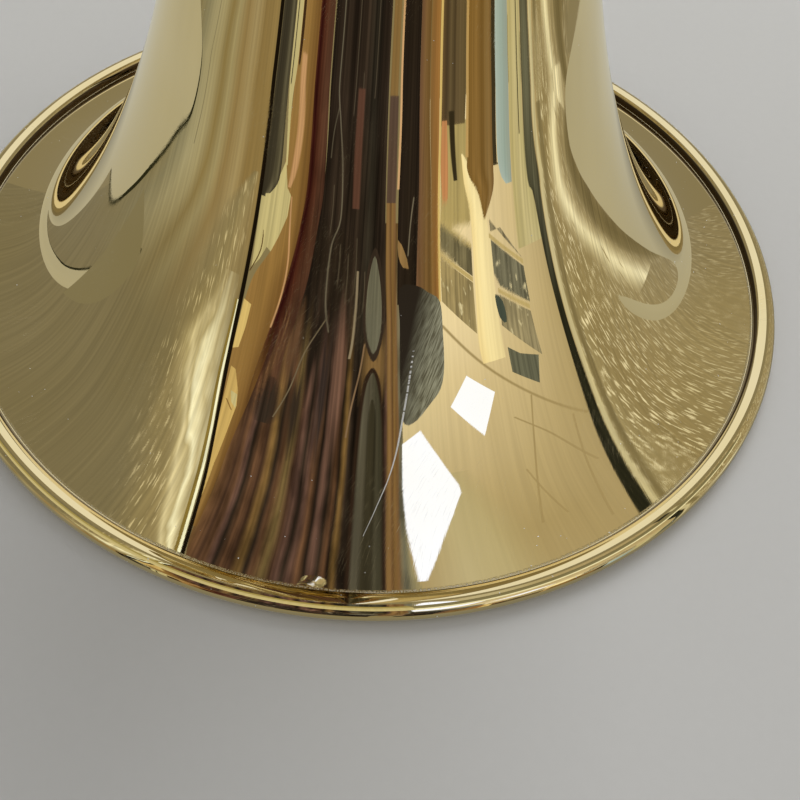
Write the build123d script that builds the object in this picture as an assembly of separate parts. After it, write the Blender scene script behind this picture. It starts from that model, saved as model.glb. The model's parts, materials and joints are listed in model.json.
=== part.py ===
"""A B-flat trumpet, standing on its bell, as separate named pieces.

Frame: the origin is the centre of the bell's rim, on the plane that the rim rests on. +Z runs up the
bell's axis towards the mouthpiece. The valves lie across that axis, along Y, with their buttons at -Y, so
+Y is downward in playing position and +X is the player's left. Millimetres.
"""
from build123d import *
from math import cos, exp, radians, sin
import os

# ---- Driving dimensions -------------------------------------------------------------------------------
BORE = 5.84                 # radius of the windway through the valves and slides, a .460 inch bore
WALL = 0.56                 # wall of the inner slide tubes, the bow and the crooks
SLIDE_GAP = 0.05            # radial clearance of a slide leg in its sleeve
SLEEVE_WALL = 0.5

INNER = BORE + WALL         # outer radius of every tube that carries the bore
SLEEVE_BORE = INNER + SLIDE_GAP
SLEEVE = SLEEVE_BORE + SLEEVE_WALL
BAND = SLEEVE + 0.75        # outer radius of the turned band at a sleeve's mouth
BAND_WIDTH = 3.0

# Bell: a Bessel horn, radius = SCALE * (z + SHIFT) ** -POWER, with a lip that flares in the last few mm
RIM_RADIUS = 61.5
BELL_SCALE = 1212.0
BELL_SHIFT = 36.2
BELL_POWER = 0.8673
LIP_FLARE = 21.5
LIP_FADE = 1.43
BELL_WALL = 0.6
BELL_END = 383.0            # where the bell's tail meets the bow
BOW_STRAIGHT = 9.0          # the bow's straight ends, inside its ferrules
ROLL_RADIUS = 1.5           # the rim's bead, rolled outward over a wire
ROLL_CENTRE = RIM_RADIUS - ROLL_RADIUS
WIRE_RADIUS = 0.88
ROLL_BORE = 0.9
SEAM_Z = 1.75               # height at which the rolled-over edge ends, on the outside of the flare
SEAM_STEP = 0.5             # how proud of the flare that edge stands
REST_LAND = 0.8             # width of the flat that the rim rests on

# Wrap: bell, valve row and leadpipe side by side, and the lower tubes DROP below them
VALVE_X = -20.5
LEAD_X = -38.2
DROP = 92.0
VALVE_Z = (275.0, 250.0, 225.0)   # valves 1, 2 and 3; valve 1 is nearest the player

# Valve casings, caps and pistons; distances are along Y
CASING_TOP = -16.0
CASING_END = 118.0
CASING_BORE = 8.45
CASING_RADIUS = 9.6
BALUSTER_RADIUS = 10.3
BALUSTER_END = 30.0
CASING_BAND = 10.9
CASING_BAND_WIDTH = 3.0
CAP_RADIUS = 11.5
CAP_SKIRT = 5.0
CAP_CREST = 6.0             # how far a cap stands beyond the casing's end
THREAD_GAP = 0.05
FLUTES = 20
PISTON_RADIUS = 8.4
PISTON_TOP = -12.0
PISTON_END = 100.0
STROKE = 16.4
BARREL_WALL = 1.0
PISTON_WALL = 0.8
BARREL_FLOOR = 25.0         # the spring barrel ends and the ported body begins
GUIDE_Y = 20.0
GUIDE_THICKNESS = 2.3
KEYWAY_RADIUS = 9.3
KEYWAY_WIDTH = 3.0
STEM_RADIUS = 2.6
BUTTON_RADIUS = 8.2
BUTTON_THICKNESS = 4.4
FELT_THICKNESS = 3.0
SPRING_RADIUS = 5.9
SPRING_WIRE = 0.4
SPRING_TURNS = 7
KNUCKLE_PORT = 4.4          # radius of the slanted ports that open when a valve is down
SPACER_LEVEL = 40.0         # where the spacers between the casings stand
SADDLE_RADIUS = 3.2
SOLDER_GAP = 0.03           # film of solder between a brace's foot and its tube

# Valve slides: their legs stand at these two levels of the casing
UPPER_LEG = 50.0
LOWER_LEG = 72.0
CROOK_LEVEL = (UPPER_LEG + LOWER_LEG) / 2
CROOK_RADIUS = (LOWER_LEG - UPPER_LEG) / 2
ELBOW = 9.5
SIDE_X = VALVE_X + CASING_RADIUS + ELBOW      # the first and third slides run beside the casings

THIRD_SLEEVE_END = 180.0
THIRD_CROOK_Z = 120.0
FIRST_SLEEVE_END = 320.0
FIRST_CROOK_Z = 345.0
SECOND_SLEEVE_END = -52.0
SECOND_CROOK_X = -60.0
LEG_INSET = 2.5             # a leg's free end stops this short of the elbow or casing
JOINT_LINE = 1.5            # open gap between a sleeve's mouth and the moving ferrule

# Main tuning slide
TUNING_SLEEVE_END = 166.0
TUNING_SLEEVE_TOP = 232.0
TUNING_CROOK_Z = 152.0
TUNING_LEG_TOP = 212.0

# Leadpipe, receiver and mouthpiece, along Z
LEADPIPE_START = 222.0
LEADPIPE_END = 462.0
LEADPIPE_TIP = 5.2
LEADPIPE_TIP_BORE = 4.45
RECEIVER_START = 438.0
RECEIVER_END = 487.0
SHANK_TIP = 464.0
SHANK_RADIUS = 4.83
SHANK_TAPER = 0.025         # radius gained per mm, a 1 in 20 taper on the diameter
SHANK_GAP = 0.02
MOUTHPIECE_END = 551.0

# Water keys
KEY_WIDTH = 5.0
KEY_THICKNESS = 1.6
KEY_PIN = 1.0
NIPPLE_RADIUS = 3.0
NIPPLE_HEIGHT = 2.4
WATER_HOLE = 1.6
CORK_THICKNESS = 2.0
KEY_STAND = 3.4             # height of a key's pivot above its tube
EAR_NEAR = KEY_WIDTH / 2 + 0.25
EAR_FAR = KEY_WIDTH / 2 + 1.35

VALVE_AXIS = Vector(0, 1, 0)
UP = Vector(0, 0, 1)
ON_START = (Align.CENTER, Align.CENTER, Align.MIN)


# ---- Shared shapes ------------------------------------------------------------------------------------
def rod(start, end, radius):
    """A round bar from start to end."""
    start, end = Vector(*start), Vector(*end)
    place = Plane(origin=start, z_dir=end - start)
    return place * Cylinder(radius, (end - start).length, align=ON_START)


def tube(start, end, outer, inner):
    return rod(start, end, outer) - rod(start, end, inner)


def bend(start, heading, pivot, angle, outer, inner):
    """A tube that leaves start along heading and turns by angle about pivot."""
    start, heading, pivot = Vector(*start), Vector(*heading), Vector(*pivot)
    ring = Plane(origin=start, z_dir=heading) * (Circle(outer) - Circle(inner))
    return revolve(ring, Axis(pivot, heading.cross(pivot - start)), angle)


def turned(origin, direction, outline):
    """A solid of revolution; outline is (radius, distance along direction) points."""
    origin, direction = Vector(*origin), Vector(*direction).normalized()
    side = Vector(1, 0, 0) if abs(direction.X) < 0.9 else Vector(0, 1, 0)
    side = (side - direction * side.dot(direction)).normalized()
    place = Plane(origin=origin, x_dir=side, z_dir=side.cross(direction))
    face = place * make_face(Polyline(*outline, close=True))
    return revolve(face, Axis(origin, direction), 360)


def strip(points, thickness):
    """A flat strip's edge-on outline: a band of that thickness with round ends and corners."""
    outline = Sketch()
    for (x0, y0), (x1, y1) in zip(points, points[1:]):
        outline += make_face(offset(Line((x0, y0), (x1, y1)), thickness / 2))
    return outline


def group(*solids):
    return Compound(list(solids))


def ring_band(start, direction, outer, inner, width=BAND_WIDTH):
    """A turned band with chamfered edges, around a tube."""
    edge = 0.4
    return turned(start, direction, [
        (inner, 0), (outer - edge, 0), (outer, edge),
        (outer, width - edge), (outer - edge, width), (inner, width),
    ])


# ---- Bell ---------------------------------------------------------------------------------------------
def bell_radius(z):
    """Outer radius of the bell at height z."""
    return BELL_SCALE * (z + BELL_SHIFT) ** -BELL_POWER + LIP_FLARE * exp(-z / LIP_FADE)


def bell_slope(z):
    step = 0.01
    return (bell_radius(z + step) - bell_radius(z - step)) / (2 * step)


def flare_point(z, depth):
    """A point of the bell's wall, depth mm inside its outer surface."""
    slope = bell_slope(z)
    size = (1 + slope ** 2) ** 0.5
    return (bell_radius(z) - depth / size, z - depth * -slope / size)


def flare_points(depth, start=SEAM_Z, stop=BELL_END, count=16, crowding=2.6):
    """Points along the wall, crowded towards the rim where it curves most."""
    heights = [start + (stop - start) * (i / (count - 1)) ** crowding for i in range(count)]
    return [flare_point(z, depth) for z in heights]


def bell():
    """The one-piece bell: flare, throat and tail, with its edge rolled outward into a bead."""
    outer = flare_points(0)
    inner = flare_points(BELL_WALL)
    seam, tail = outer[0], outer[-1]
    throat, mouth = (tail[0] - BELL_WALL, BELL_END), inner[0]
    inner[-1] = throat
    land_in = (ROLL_CENTRE - REST_LAND, 0)
    land_out = (ROLL_CENTRE, 0)
    crest = (ROLL_CENTRE, 2 * ROLL_RADIUS)
    edge = (seam[0] + 0.1, seam[1] + SEAM_STEP)
    outline = (
        Spline(*outer)
        + Line(tail, throat)
        + Spline(*reversed(inner))
        + Spline(mouth, land_in, tangents=[(1.0, -0.35), (1.0, 0)])
        + Line(land_in, land_out)
        + RadiusArc(land_out, crest, -ROLL_RADIUS)
        + Spline(crest, edge, tangents=[(-1.0, 0), (-1.0, -0.25)])
        + Line(edge, seam)
    )
    section = make_face(outline) - Pos(ROLL_CENTRE, ROLL_RADIUS) * Circle(ROLL_BORE)
    return revolve(Plane.XZ * section, Axis.Z, 360)


def bell_form(allowance):
    """The bell's outside as a full solid above the rim, larger all round by allowance."""
    outer = [(r + allowance, z) for r, z in flare_points(0, start=150.0, count=8, crowding=1.0)]
    outline = Spline(*outer) + Polyline(outer[-1], (0, BELL_END), (0, 150.0), outer[0])
    return revolve(Plane.XZ * make_face(outline), Axis.Z, 360)


BOW_ENDS = ((0, 0), (VALVE_X, DROP))


def rim_wire():
    return revolve(Plane.XZ * Pos(ROLL_CENTRE, ROLL_RADIUS) * Circle(WIRE_RADIUS), Axis.Z, 360)


def bell_bow():
    """The half-circle at the player's end that carries the windway down to valve 1."""
    curve_z = BELL_END + BOW_STRAIGHT
    tail, leg = Vector(0, 0, curve_z), Vector(VALVE_X, DROP, curve_z)
    radius = bell_radius(BELL_END)
    bow = bend(tail, UP, (tail + leg) / 2, 180, radius, BORE)
    for x, y in BOW_ENDS:
        bow += tube((x, y, BELL_END), (x, y, curve_z), radius, BORE)
    return bow


def bow_ferrules():
    """The two ferrules that sleeve the bow's joints."""
    reach = BOW_STRAIGHT
    bore = bell_radius(BELL_END - reach) + 0.04
    outline = [(bore, -reach), (bore + 0.9, -reach), (bore + 1.3, 1 - reach), (bore + 0.7, 2.2 - reach),
               (bore + 0.7, reach - 2.2), (bore + 1.3, reach - 1), (bore + 0.9, reach), (bore, reach)]
    return group(*(turned((x, y, BELL_END), UP, outline) for x, y in BOW_ENDS))


def bell_lower_leg():
    """The straight tube from the bow to valve 1, cut to the casing that it is soldered to."""
    leg = tube((VALVE_X, DROP, VALVE_Z[0]), (VALVE_X, DROP, BELL_END), bell_radius(BELL_END), BORE)
    return leg - casing_form(VALVE_Z[0])


# ---- Valve block --------------------------------------------------------------------------------------
def valve_origin(z):
    return (VALVE_X, 0, z)


def casing_form(z):
    """The plain outside of a casing, to cut tubes to."""
    return rod((VALVE_X, BALUSTER_END, z), (VALVE_X, CASING_END, z), CASING_RADIUS)


def slide_side(number):
    """Which way a valve's slide ports face: the second slide is on the player's right."""
    return -1 if number == 2 else 1


def casing(number, z):
    """One valve casing: baluster, body, keyways for the guide, and a port for every tube."""
    foot = CASING_END - CAP_SKIRT
    outline = [
        (CASING_BORE, CASING_TOP), (BALUSTER_RADIUS, CASING_TOP),
        (BALUSTER_RADIUS, BALUSTER_END - 2.0), (CASING_BAND, BALUSTER_END - 1.2),
        (CASING_BAND, BALUSTER_END), (CASING_RADIUS, BALUSTER_END + CASING_BAND_WIDTH),
        (CASING_RADIUS, foot - 2.5), (BALUSTER_RADIUS, foot - 1.5),
        (BALUSTER_RADIUS, CASING_END), (CASING_BORE, CASING_END),
    ]
    shell = turned(valve_origin(z), VALVE_AXIS, outline)
    keyway_length = GUIDE_Y + GUIDE_THICKNESS - CASING_TOP
    keyway = Box(KEYWAY_WIDTH, keyway_length, 2 * KEYWAY_RADIUS, align=(Align.CENTER, Align.MIN, Align.CENTER))
    shell -= Pos(VALVE_X, CASING_TOP, z) * keyway
    through = rod((VALVE_X, DROP, z - CAP_RADIUS), (VALVE_X, DROP, z + CAP_RADIUS), BORE)
    side = slide_side(number) * CAP_RADIUS
    ports = [rod((VALVE_X, level, z), (VALVE_X + side, level, z), BORE) for level in (UPPER_LEG, LOWER_LEG)]
    return shell - [through, *ports]


def crossovers():
    """The short tubes that join neighbouring casings, and the turned spacers above them."""
    made = []
    for upper, lower in zip(VALVE_Z, VALVE_Z[1:]):
        link = tube((VALVE_X, DROP, lower), (VALVE_X, DROP, upper), SLEEVE, BORE)
        made.append(link - casing_form(upper) - casing_form(lower))
        made.append(casing_spacer(upper, lower))
    made.append(block_saddle(VALVE_Z[0], 0, bell_form(0.06)))
    made.append(block_saddle(VALVE_Z[1], LEAD_X, leadpipe_form(VALVE_Z[1])))
    return group(*made)


def casing_spacer(upper, lower):
    """The turned spacer that holds two neighbouring casings apart, below their balusters."""
    near, far = lower + CASING_RADIUS, upper - CASING_RADIUS
    middle, sink = (near + far) / 2, 1.5
    spacer = turned((VALVE_X, SPACER_LEVEL, 0), UP, [
        (0, near - sink), (3.6, near - sink), (3.6, near + 0.6), (2.2, near + 1.6), (2.2, middle - 0.8),
        (2.9, middle), (2.2, middle + 0.8), (2.2, far - 1.6), (3.6, far - 0.6), (3.6, far + sink),
        (0, far + sink),
    ])
    fit = CASING_RADIUS + SOLDER_GAP
    for z in (upper, lower):
        spacer -= rod((VALVE_X, BALUSTER_END, z), (VALVE_X, CASING_END, z), fit)
    return spacer


def block_saddle(z, x, neighbour):
    """The low saddle that ties a casing's baluster to the tube beside it, whose solid form cuts it."""
    saddle = rod((VALVE_X, 0, z), (x, 0, z), SADDLE_RADIUS)
    saddle -= rod((VALVE_X, CASING_TOP, z), (VALVE_X, BALUSTER_END, z), BALUSTER_RADIUS + SOLDER_GAP)
    return saddle - neighbour


def fluted(cap, start, end):
    """A cap with grip flutes round its skirt."""
    step = 360 / FLUTES
    cutters = []
    for i in range(FLUTES):
        x = (CAP_RADIUS + 0.3) * cos(radians(i * step))
        z = (CAP_RADIUS + 0.3) * sin(radians(i * step))
        cutters.append(rod((x, start, z), (x, end, z), 0.75))
    return cap - cutters


def top_cap():
    """A top cap on the valve axis at the origin: skirt, dished crown and the stem's collar."""
    bore = BALUSTER_RADIUS + THREAD_GAP
    skirt_end, crown = CASING_TOP + CAP_SKIRT, CASING_TOP - CAP_CREST
    cap = turned((0, 0, 0), VALVE_AXIS, [
        (bore, skirt_end), (CAP_RADIUS, skirt_end), (CAP_RADIUS, CASING_TOP - 1.2),
        (CAP_RADIUS - 1.0, CASING_TOP - 2.2), (6.4, CASING_TOP - 3.4), (5.4, crown + 0.5),
        (4.9, crown), (STEM_RADIUS + 0.4, crown), (STEM_RADIUS + 0.4, CASING_TOP - THREAD_GAP),
        (bore, CASING_TOP - THREAD_GAP),
    ])
    return fluted(cap, skirt_end - 4.4, skirt_end + 1)


def bottom_cap():
    """A bottom cap: skirt, domed floor and a vented nipple."""
    bore = BALUSTER_RADIUS + THREAD_GAP
    skirt_end, floor = CASING_END - CAP_SKIRT, CASING_END + THREAD_GAP
    nipple = CASING_END + CAP_CREST
    cap = turned((0, 0, 0), VALVE_AXIS, [
        (bore, skirt_end), (CAP_RADIUS, skirt_end), (CAP_RADIUS, CASING_END + 1.0),
        (CAP_RADIUS - 1.0, CASING_END + 2.0), (6.5, CASING_END + 3.4), (3.4, CASING_END + 4.0),
        (3.0, nipple), (1.2, nipple), (1.2, floor), (bore, floor),
    ])
    return fluted(cap, skirt_end - 1, skirt_end + 4.4)


def caps(cap):
    """A row of three caps."""
    return group(*(Pos(VALVE_X, 0, z) * cap for z in VALVE_Z))


def piston(number, z):
    """A piston: ported body below, and above it the spring barrel, slotted for the guide."""
    centre = valve_origin(z)
    room = PISTON_RADIUS - BARREL_WALL
    lid = PISTON_TOP + 2.0
    body = turned(centre, VALVE_AXIS, [
        (STEM_RADIUS + 0.02, PISTON_TOP), (PISTON_RADIUS - 0.4, PISTON_TOP), (PISTON_RADIUS, PISTON_TOP + 0.4),
        (PISTON_RADIUS, PISTON_END - 0.4), (PISTON_RADIUS - 0.4, PISTON_END), (0, PISTON_END),
        (0, BARREL_FLOOR), (room, BARREL_FLOOR), (room, lid), (STEM_RADIUS + 0.02, lid),
    ])
    slot_end = GUIDE_Y + GUIDE_THICKNESS + 0.2
    slot_length = STROKE + GUIDE_THICKNESS + 0.8
    slot = Box(KEYWAY_WIDTH + 0.2, slot_length, 2 * CAP_RADIUS, align=(Align.CENTER, Align.MAX, Align.CENTER))
    body -= Pos(VALVE_X, slot_end, z) * slot
    side = slide_side(number) * CAP_RADIUS
    windways = [
        ((VALVE_X, DROP, z - CAP_RADIUS), (VALVE_X, DROP, z + CAP_RADIUS), BORE),
        ((VALVE_X, DROP - STROKE, z - CAP_RADIUS), (VALVE_X + side, LOWER_LEG - STROKE, z), KNUCKLE_PORT),
        ((VALVE_X + side, UPPER_LEG - STROKE, z), (VALVE_X, DROP - STROKE, z + CAP_RADIUS), KNUCKLE_PORT),
    ]
    hollow = rod((VALVE_X, BARREL_FLOOR + 1.5, z), (VALVE_X, PISTON_END - 1.5, z), PISTON_RADIUS - PISTON_WALL)
    hollow -= [rod(start, end, radius + 0.6) for start, end, radius in windways]
    vent = rod((VALVE_X, PISTON_END - 3, z), (VALVE_X, PISTON_END + 1, z), 2.5)
    return body - hollow - vent - [rod(*windway) for windway in windways]


def valve_guides():
    """The guides: a disc in each barrel, with two lugs that sit on the casing's keyway floor."""
    made = []
    for z in VALVE_Z:
        disc = tube((VALVE_X, GUIDE_Y, z), (VALVE_X, GUIDE_Y + GUIDE_THICKNESS, z),
                    PISTON_RADIUS - BARREL_WALL - 0.3, 2.0)
        lugs = Box(KEYWAY_WIDTH - 0.2, GUIDE_THICKNESS, 2 * KEYWAY_RADIUS - 0.3,
                   align=(Align.CENTER, Align.MIN, Align.CENTER))
        lugs = Pos(VALVE_X, GUIDE_Y, z) * lugs
        lugs -= rod((VALVE_X, GUIDE_Y - 1, z), (VALVE_X, GUIDE_Y + 4, z), 2.0)
        made.append(disc + lugs)
    return group(*made)


def valve_spring(z):
    """The return spring, between the guide and the barrel's lid."""
    gap = SPRING_WIRE + 0.15
    foot, head = GUIDE_Y - gap, PISTON_TOP + 2.0 + gap
    height = foot - head
    path = Helix(height / SPRING_TURNS, height, SPRING_RADIUS, center=(VALVE_X, foot, z), direction=(0, -1, 0))
    place = Plane(origin=path @ 0, z_dir=path % 0)
    return sweep(place * Circle(SPRING_WIRE), path, is_frenet=True)


def button_rest():
    """Where the felt under a button lies at rest: one stroke above the top cap."""
    return CASING_TOP - CAP_CREST - STROKE - 0.1


def valve_stem(z):
    top = button_rest() - FELT_THICKNESS - BUTTON_THICKNESS + 2.4
    return turned(valve_origin(z), VALVE_AXIS, [
        (0, top), (STEM_RADIUS - 0.5, top), (STEM_RADIUS - 0.5, button_rest() - FELT_THICKNESS),
        (STEM_RADIUS, button_rest() - FELT_THICKNESS), (STEM_RADIUS, PISTON_TOP + 3.2), (0, PISTON_TOP + 3.2),
    ])


def finger_button(z):
    """A finger button: a dished disc on a short neck, bored for the stem and recessed for its pearl."""
    under = button_rest() - FELT_THICKNESS
    top = under - BUTTON_THICKNESS
    bore = STEM_RADIUS - 0.48
    return turned(valve_origin(z), VALVE_AXIS, [
        (bore, under), (4.6, under), (5.0, under - 0.8), (BUTTON_RADIUS - 0.8, under - 2.2),
        (BUTTON_RADIUS, under - 3.0), (BUTTON_RADIUS, top + 0.3), (BUTTON_RADIUS - 0.3, top),
        (BUTTON_RADIUS - 1.4, top), (BUTTON_RADIUS - 1.4, top + 1.4), (0, top + 1.4), (0, top + 2.3),
        (bore, top + 2.3),
    ])


def button_pearl(z):
    """The dished inlay in a button's top."""
    top = button_rest() - FELT_THICKNESS - BUTTON_THICKNESS
    radius = BUTTON_RADIUS - 1.45
    return turned(valve_origin(z), VALVE_AXIS, [
        (0, top + 1.38), (radius, top + 1.38), (radius, top + 0.1), (radius - 0.5, top - 0.1),
        (radius - 2.2, top + 0.15), (0, top + 0.35),
    ])


def stem_felts(z):
    """The quiet stops: one felt under the button, one on the piston's top."""
    upper = tube((VALVE_X, button_rest() - FELT_THICKNESS, z), (VALVE_X, button_rest(), z), 4.5, STEM_RADIUS + 0.03)
    lower = tube((VALVE_X, CASING_TOP, z), (VALVE_X, PISTON_TOP, z), 6.5, STEM_RADIUS + 0.03)
    return group(upper, lower)


# ---- Valve slides -------------------------------------------------------------------------------------
def side_sleeves(z, way, end):
    """The sleeves of the first or third slide: an elbow out of the casing's side, then a straight."""
    made = []
    for level in (UPPER_LEG, LOWER_LEG):
        corner = (VALVE_X + CASING_RADIUS, level, z)
        spigot = tube((VALVE_X + CASING_BORE, level, z), corner, INNER, BORE) - casing_form(z)
        elbow = bend(corner, (1, 0, 0), (corner[0], level, z + way * ELBOW), 90, INNER, BORE)
        start = z + way * ELBOW
        straight = tube((SIDE_X, level, start), (SIDE_X, level, end), SLEEVE, SLEEVE_BORE)
        shoulder = ring_band((SIDE_X, level, start), (0, 0, way), SLEEVE + 0.4, BORE, 1.6)
        mouth = ring_band((SIDE_X, level, end), (0, 0, -way), BAND, SLEEVE_BORE)
        made.append(spigot + elbow + shoulder + straight + mouth)
    return group(*made, sleeve_brace((start + end) / 2))


def sleeve_brace(z):
    """The short turned brace between a slide's two sleeves."""
    near, far = UPPER_LEG + SLEEVE, LOWER_LEG - SLEEVE
    sink = 1.2
    brace = turned((SIDE_X, 0, z), VALVE_AXIS, [
        (0, near - sink), (3.2, near - sink), (3.2, near + 0.6), (1.8, near + 1.8), (1.8, CROOK_LEVEL - 1.2),
        (2.7, CROOK_LEVEL - 0.5), (2.7, CROOK_LEVEL + 0.5), (1.8, CROOK_LEVEL + 1.2), (1.8, far - 1.8),
        (3.2, far - 0.6), (3.2, far + sink), (0, far + sink),
    ])
    for level in (UPPER_LEG, LOWER_LEG):
        brace -= rod((SIDE_X, level, z - 6), (SIDE_X, level, z + 6), SLEEVE + SOLDER_GAP)
    return brace


def second_sleeves():
    made = []
    start = VALVE_X - CASING_BORE
    for level in (UPPER_LEG, LOWER_LEG):
        place = (VALVE_X, level, VALVE_Z[1])
        straight = tube((start, level, place[2]), (SECOND_SLEEVE_END, level, place[2]), SLEEVE, SLEEVE_BORE)
        mouth = ring_band((SECOND_SLEEVE_END, level, place[2]), (1, 0, 0), BAND, SLEEVE_BORE)
        made.append(straight + mouth - casing_form(VALVE_Z[1]))
    return group(*made)


def slide_legs(starts, ends):
    """Inner legs of a slide: thin tubes that run in the sleeves and end in the crook's ferrules."""
    return group(*(tube(start, end, INNER, BORE) for start, end in zip(starts, ends)))


def ferrule(start, end):
    """The outer tube that joins a leg to its crook, with a band where it meets the sleeve."""
    heading = (Vector(*end) - Vector(*start)).normalized()
    body = tube(start, end, SLEEVE, INNER + 0.02)
    return body + ring_band(start, heading, BAND, INNER + 0.02)


def half_crook(first, second, heading):
    """A half-circle crook between two parallel legs."""
    first, second = Vector(*first), Vector(*second)
    return bend(first, heading, (first + second) / 2, 180, INNER, BORE)


def third_leg(level, z):
    return (SIDE_X, level, z)


def second_leg(level, x):
    return (x, level, VALVE_Z[1])


LEVELS = (UPPER_LEG, LOWER_LEG)


def third_slide():
    tip, mouth = VALVE_Z[2] - ELBOW - LEG_INSET, THIRD_SLEEVE_END - JOINT_LINE
    legs = slide_legs([third_leg(y, THIRD_CROOK_Z) for y in LEVELS], [third_leg(y, tip) for y in LEVELS])
    ferrules = [ferrule(third_leg(y, mouth), third_leg(y, THIRD_CROOK_Z)) for y in LEVELS]
    key = third_water_key()
    ferrules[1] += key["ears"]
    crook = half_crook(third_leg(UPPER_LEG, THIRD_CROOK_Z), third_leg(LOWER_LEG, THIRD_CROOK_Z), (0, 0, -1))
    return {
        "third_slide_legs": legs,
        "third_slide_ferrules": group(*ferrules),
        "third_slide_crook": crook - key["hole"] + key["nipple"],
        "third_slide_finger_ring": finger_ring(),
        "third_water_key_lever": key["lever"],
        "third_water_key_cork": key["cork"],
    }


def first_slide():
    tip, mouth = VALVE_Z[0] + ELBOW + LEG_INSET, FIRST_SLEEVE_END + JOINT_LINE
    legs = slide_legs([third_leg(y, FIRST_CROOK_Z) for y in LEVELS], [third_leg(y, tip) for y in LEVELS])
    ferrules = group(*(ferrule(third_leg(y, mouth), third_leg(y, FIRST_CROOK_Z)) for y in LEVELS))
    crook = half_crook(third_leg(UPPER_LEG, FIRST_CROOK_Z), third_leg(LOWER_LEG, FIRST_CROOK_Z), UP)
    return {
        "first_slide_legs": legs,
        "first_slide_ferrules": ferrules,
        "first_slide_crook": crook,
        "first_slide_thumb_saddle": thumb_saddle(),
    }


def second_slide():
    """The short slide on the player's right, with a knob to pull it by."""
    tip, mouth = VALVE_X - CASING_RADIUS - LEG_INSET, SECOND_SLEEVE_END - JOINT_LINE
    legs = slide_legs([second_leg(y, SECOND_CROOK_X) for y in LEVELS], [second_leg(y, tip) for y in LEVELS])
    ferrules = group(*(ferrule(second_leg(y, mouth), second_leg(y, SECOND_CROOK_X)) for y in LEVELS))
    crook = half_crook(*(second_leg(level, SECOND_CROOK_X) for level in LEVELS), (-1, 0, 0))
    apex = SECOND_CROOK_X - CROOK_RADIUS - INNER
    knob = turned((apex + 0.4, CROOK_LEVEL, VALVE_Z[1]), (-1, 0, 0), [
        (0, 0), (2.0, 0), (2.0, 1.6), (1.5, 2.4), (1.5, 3.6), (3.4, 4.6), (3.8, 5.6), (3.4, 6.6), (0, 7.2),
    ])
    knob -= half_crook_core()
    return {
        "second_slide_legs": legs,
        "second_slide_ferrules": ferrules,
        "second_slide_crook": crook + knob,
    }


def half_crook_core():
    """The second crook's windway, kept clear of its knob."""
    first, second = (Vector(*second_leg(level, SECOND_CROOK_X)) for level in LEVELS)
    ring = Plane(origin=first, z_dir=(-1, 0, 0)) * Circle(INNER - 0.2)
    pivot = (first + second) / 2
    return revolve(ring, Axis(pivot, Vector(-1, 0, 0).cross(pivot - first)), 180)


# ---- Finger pieces ------------------------------------------------------------------------------------
def across(sketch, x, width):
    """A sketch drawn in (y, z), given that width along X about x."""
    place = Plane(origin=(x - width / 2, 0, 0), x_dir=(0, 1, 0), z_dir=(1, 0, 0))
    return extrude(place * sketch, width)


def finger_ring():
    """The ring for the left ring finger, under the third slide's lower leg."""
    inner, outer, width, z = 10.6, 12.6, 6.0, 163.5
    level = LOWER_LEG + SLEEVE + 1.0 + outer
    ring = across(Pos(level, z) * (Circle(outer) - Circle(inner)), SIDE_X, width)
    ring = fillet(ring.edges(), 0.7)
    foot = across(Pos(LOWER_LEG + SLEEVE + 0.9, z) * Rectangle(2.6, 9.0), SIDE_X, 5.0)
    foot -= rod(third_leg(LOWER_LEG, z - 8), third_leg(LOWER_LEG, z + 8), SLEEVE + 0.02)
    foot -= rod((SIDE_X - width, level, z), (SIDE_X + width, level, z), inner + 0.3)
    return ring + foot


def thumb_saddle():
    """The U on the first slide's upper leg that the left thumb works in."""
    inner, thickness, width, z = 9.5, 1.7, 13.0, 334.0
    level = UPPER_LEG - SLEEVE - 1.2 - thickness - inner
    outer = inner + thickness
    u = Circle(outer) - Circle(inner) - Pos(-outer, 0) * Rectangle(2 * outer, 2 * outer)
    wall = Pos(-4.0, inner + thickness / 2) * Rectangle(8.0, thickness)
    lip = Pos(-8.0, inner + thickness / 2) * Circle(1.25)
    arm = wall + lip
    saddle = across(Pos(level, z) * (u + arm + mirror(arm, Plane.XZ)), SIDE_X, width)
    foot = across(Pos(UPPER_LEG - SLEEVE - 0.8, z) * Rectangle(3.6, 8.0), SIDE_X, 5.0)
    foot -= rod(third_leg(UPPER_LEG, z - 8), third_leg(UPPER_LEG, z + 8), SLEEVE + 0.02)
    foot -= rod((SIDE_X - width, level, z), (SIDE_X + width, level, z), inner + 0.3)
    return saddle + foot


def pinky_hook():
    """The hook on the leadpipe's sleeve for the right little finger, open towards the player."""
    width, z, level, radius, rise_length = 7.0, 192.0, -SLEEVE - 1.0, 10.0, 8.0
    rise = Line((level, z), (level - rise_length, z))
    curl = CenterArc((level - rise_length, z + radius), radius, -90, -145)
    blade = make_face(offset(rise + curl, 1.1))
    hook = across(blade, LEAD_X, width)
    foot = across(Pos(level + 0.4, z) * Rectangle(2.4, 12.0), LEAD_X, width)
    hook += foot
    return hook - rod((LEAD_X, 0, z - 12), (LEAD_X, 0, z + 12), SLEEVE + 0.02)


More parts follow.
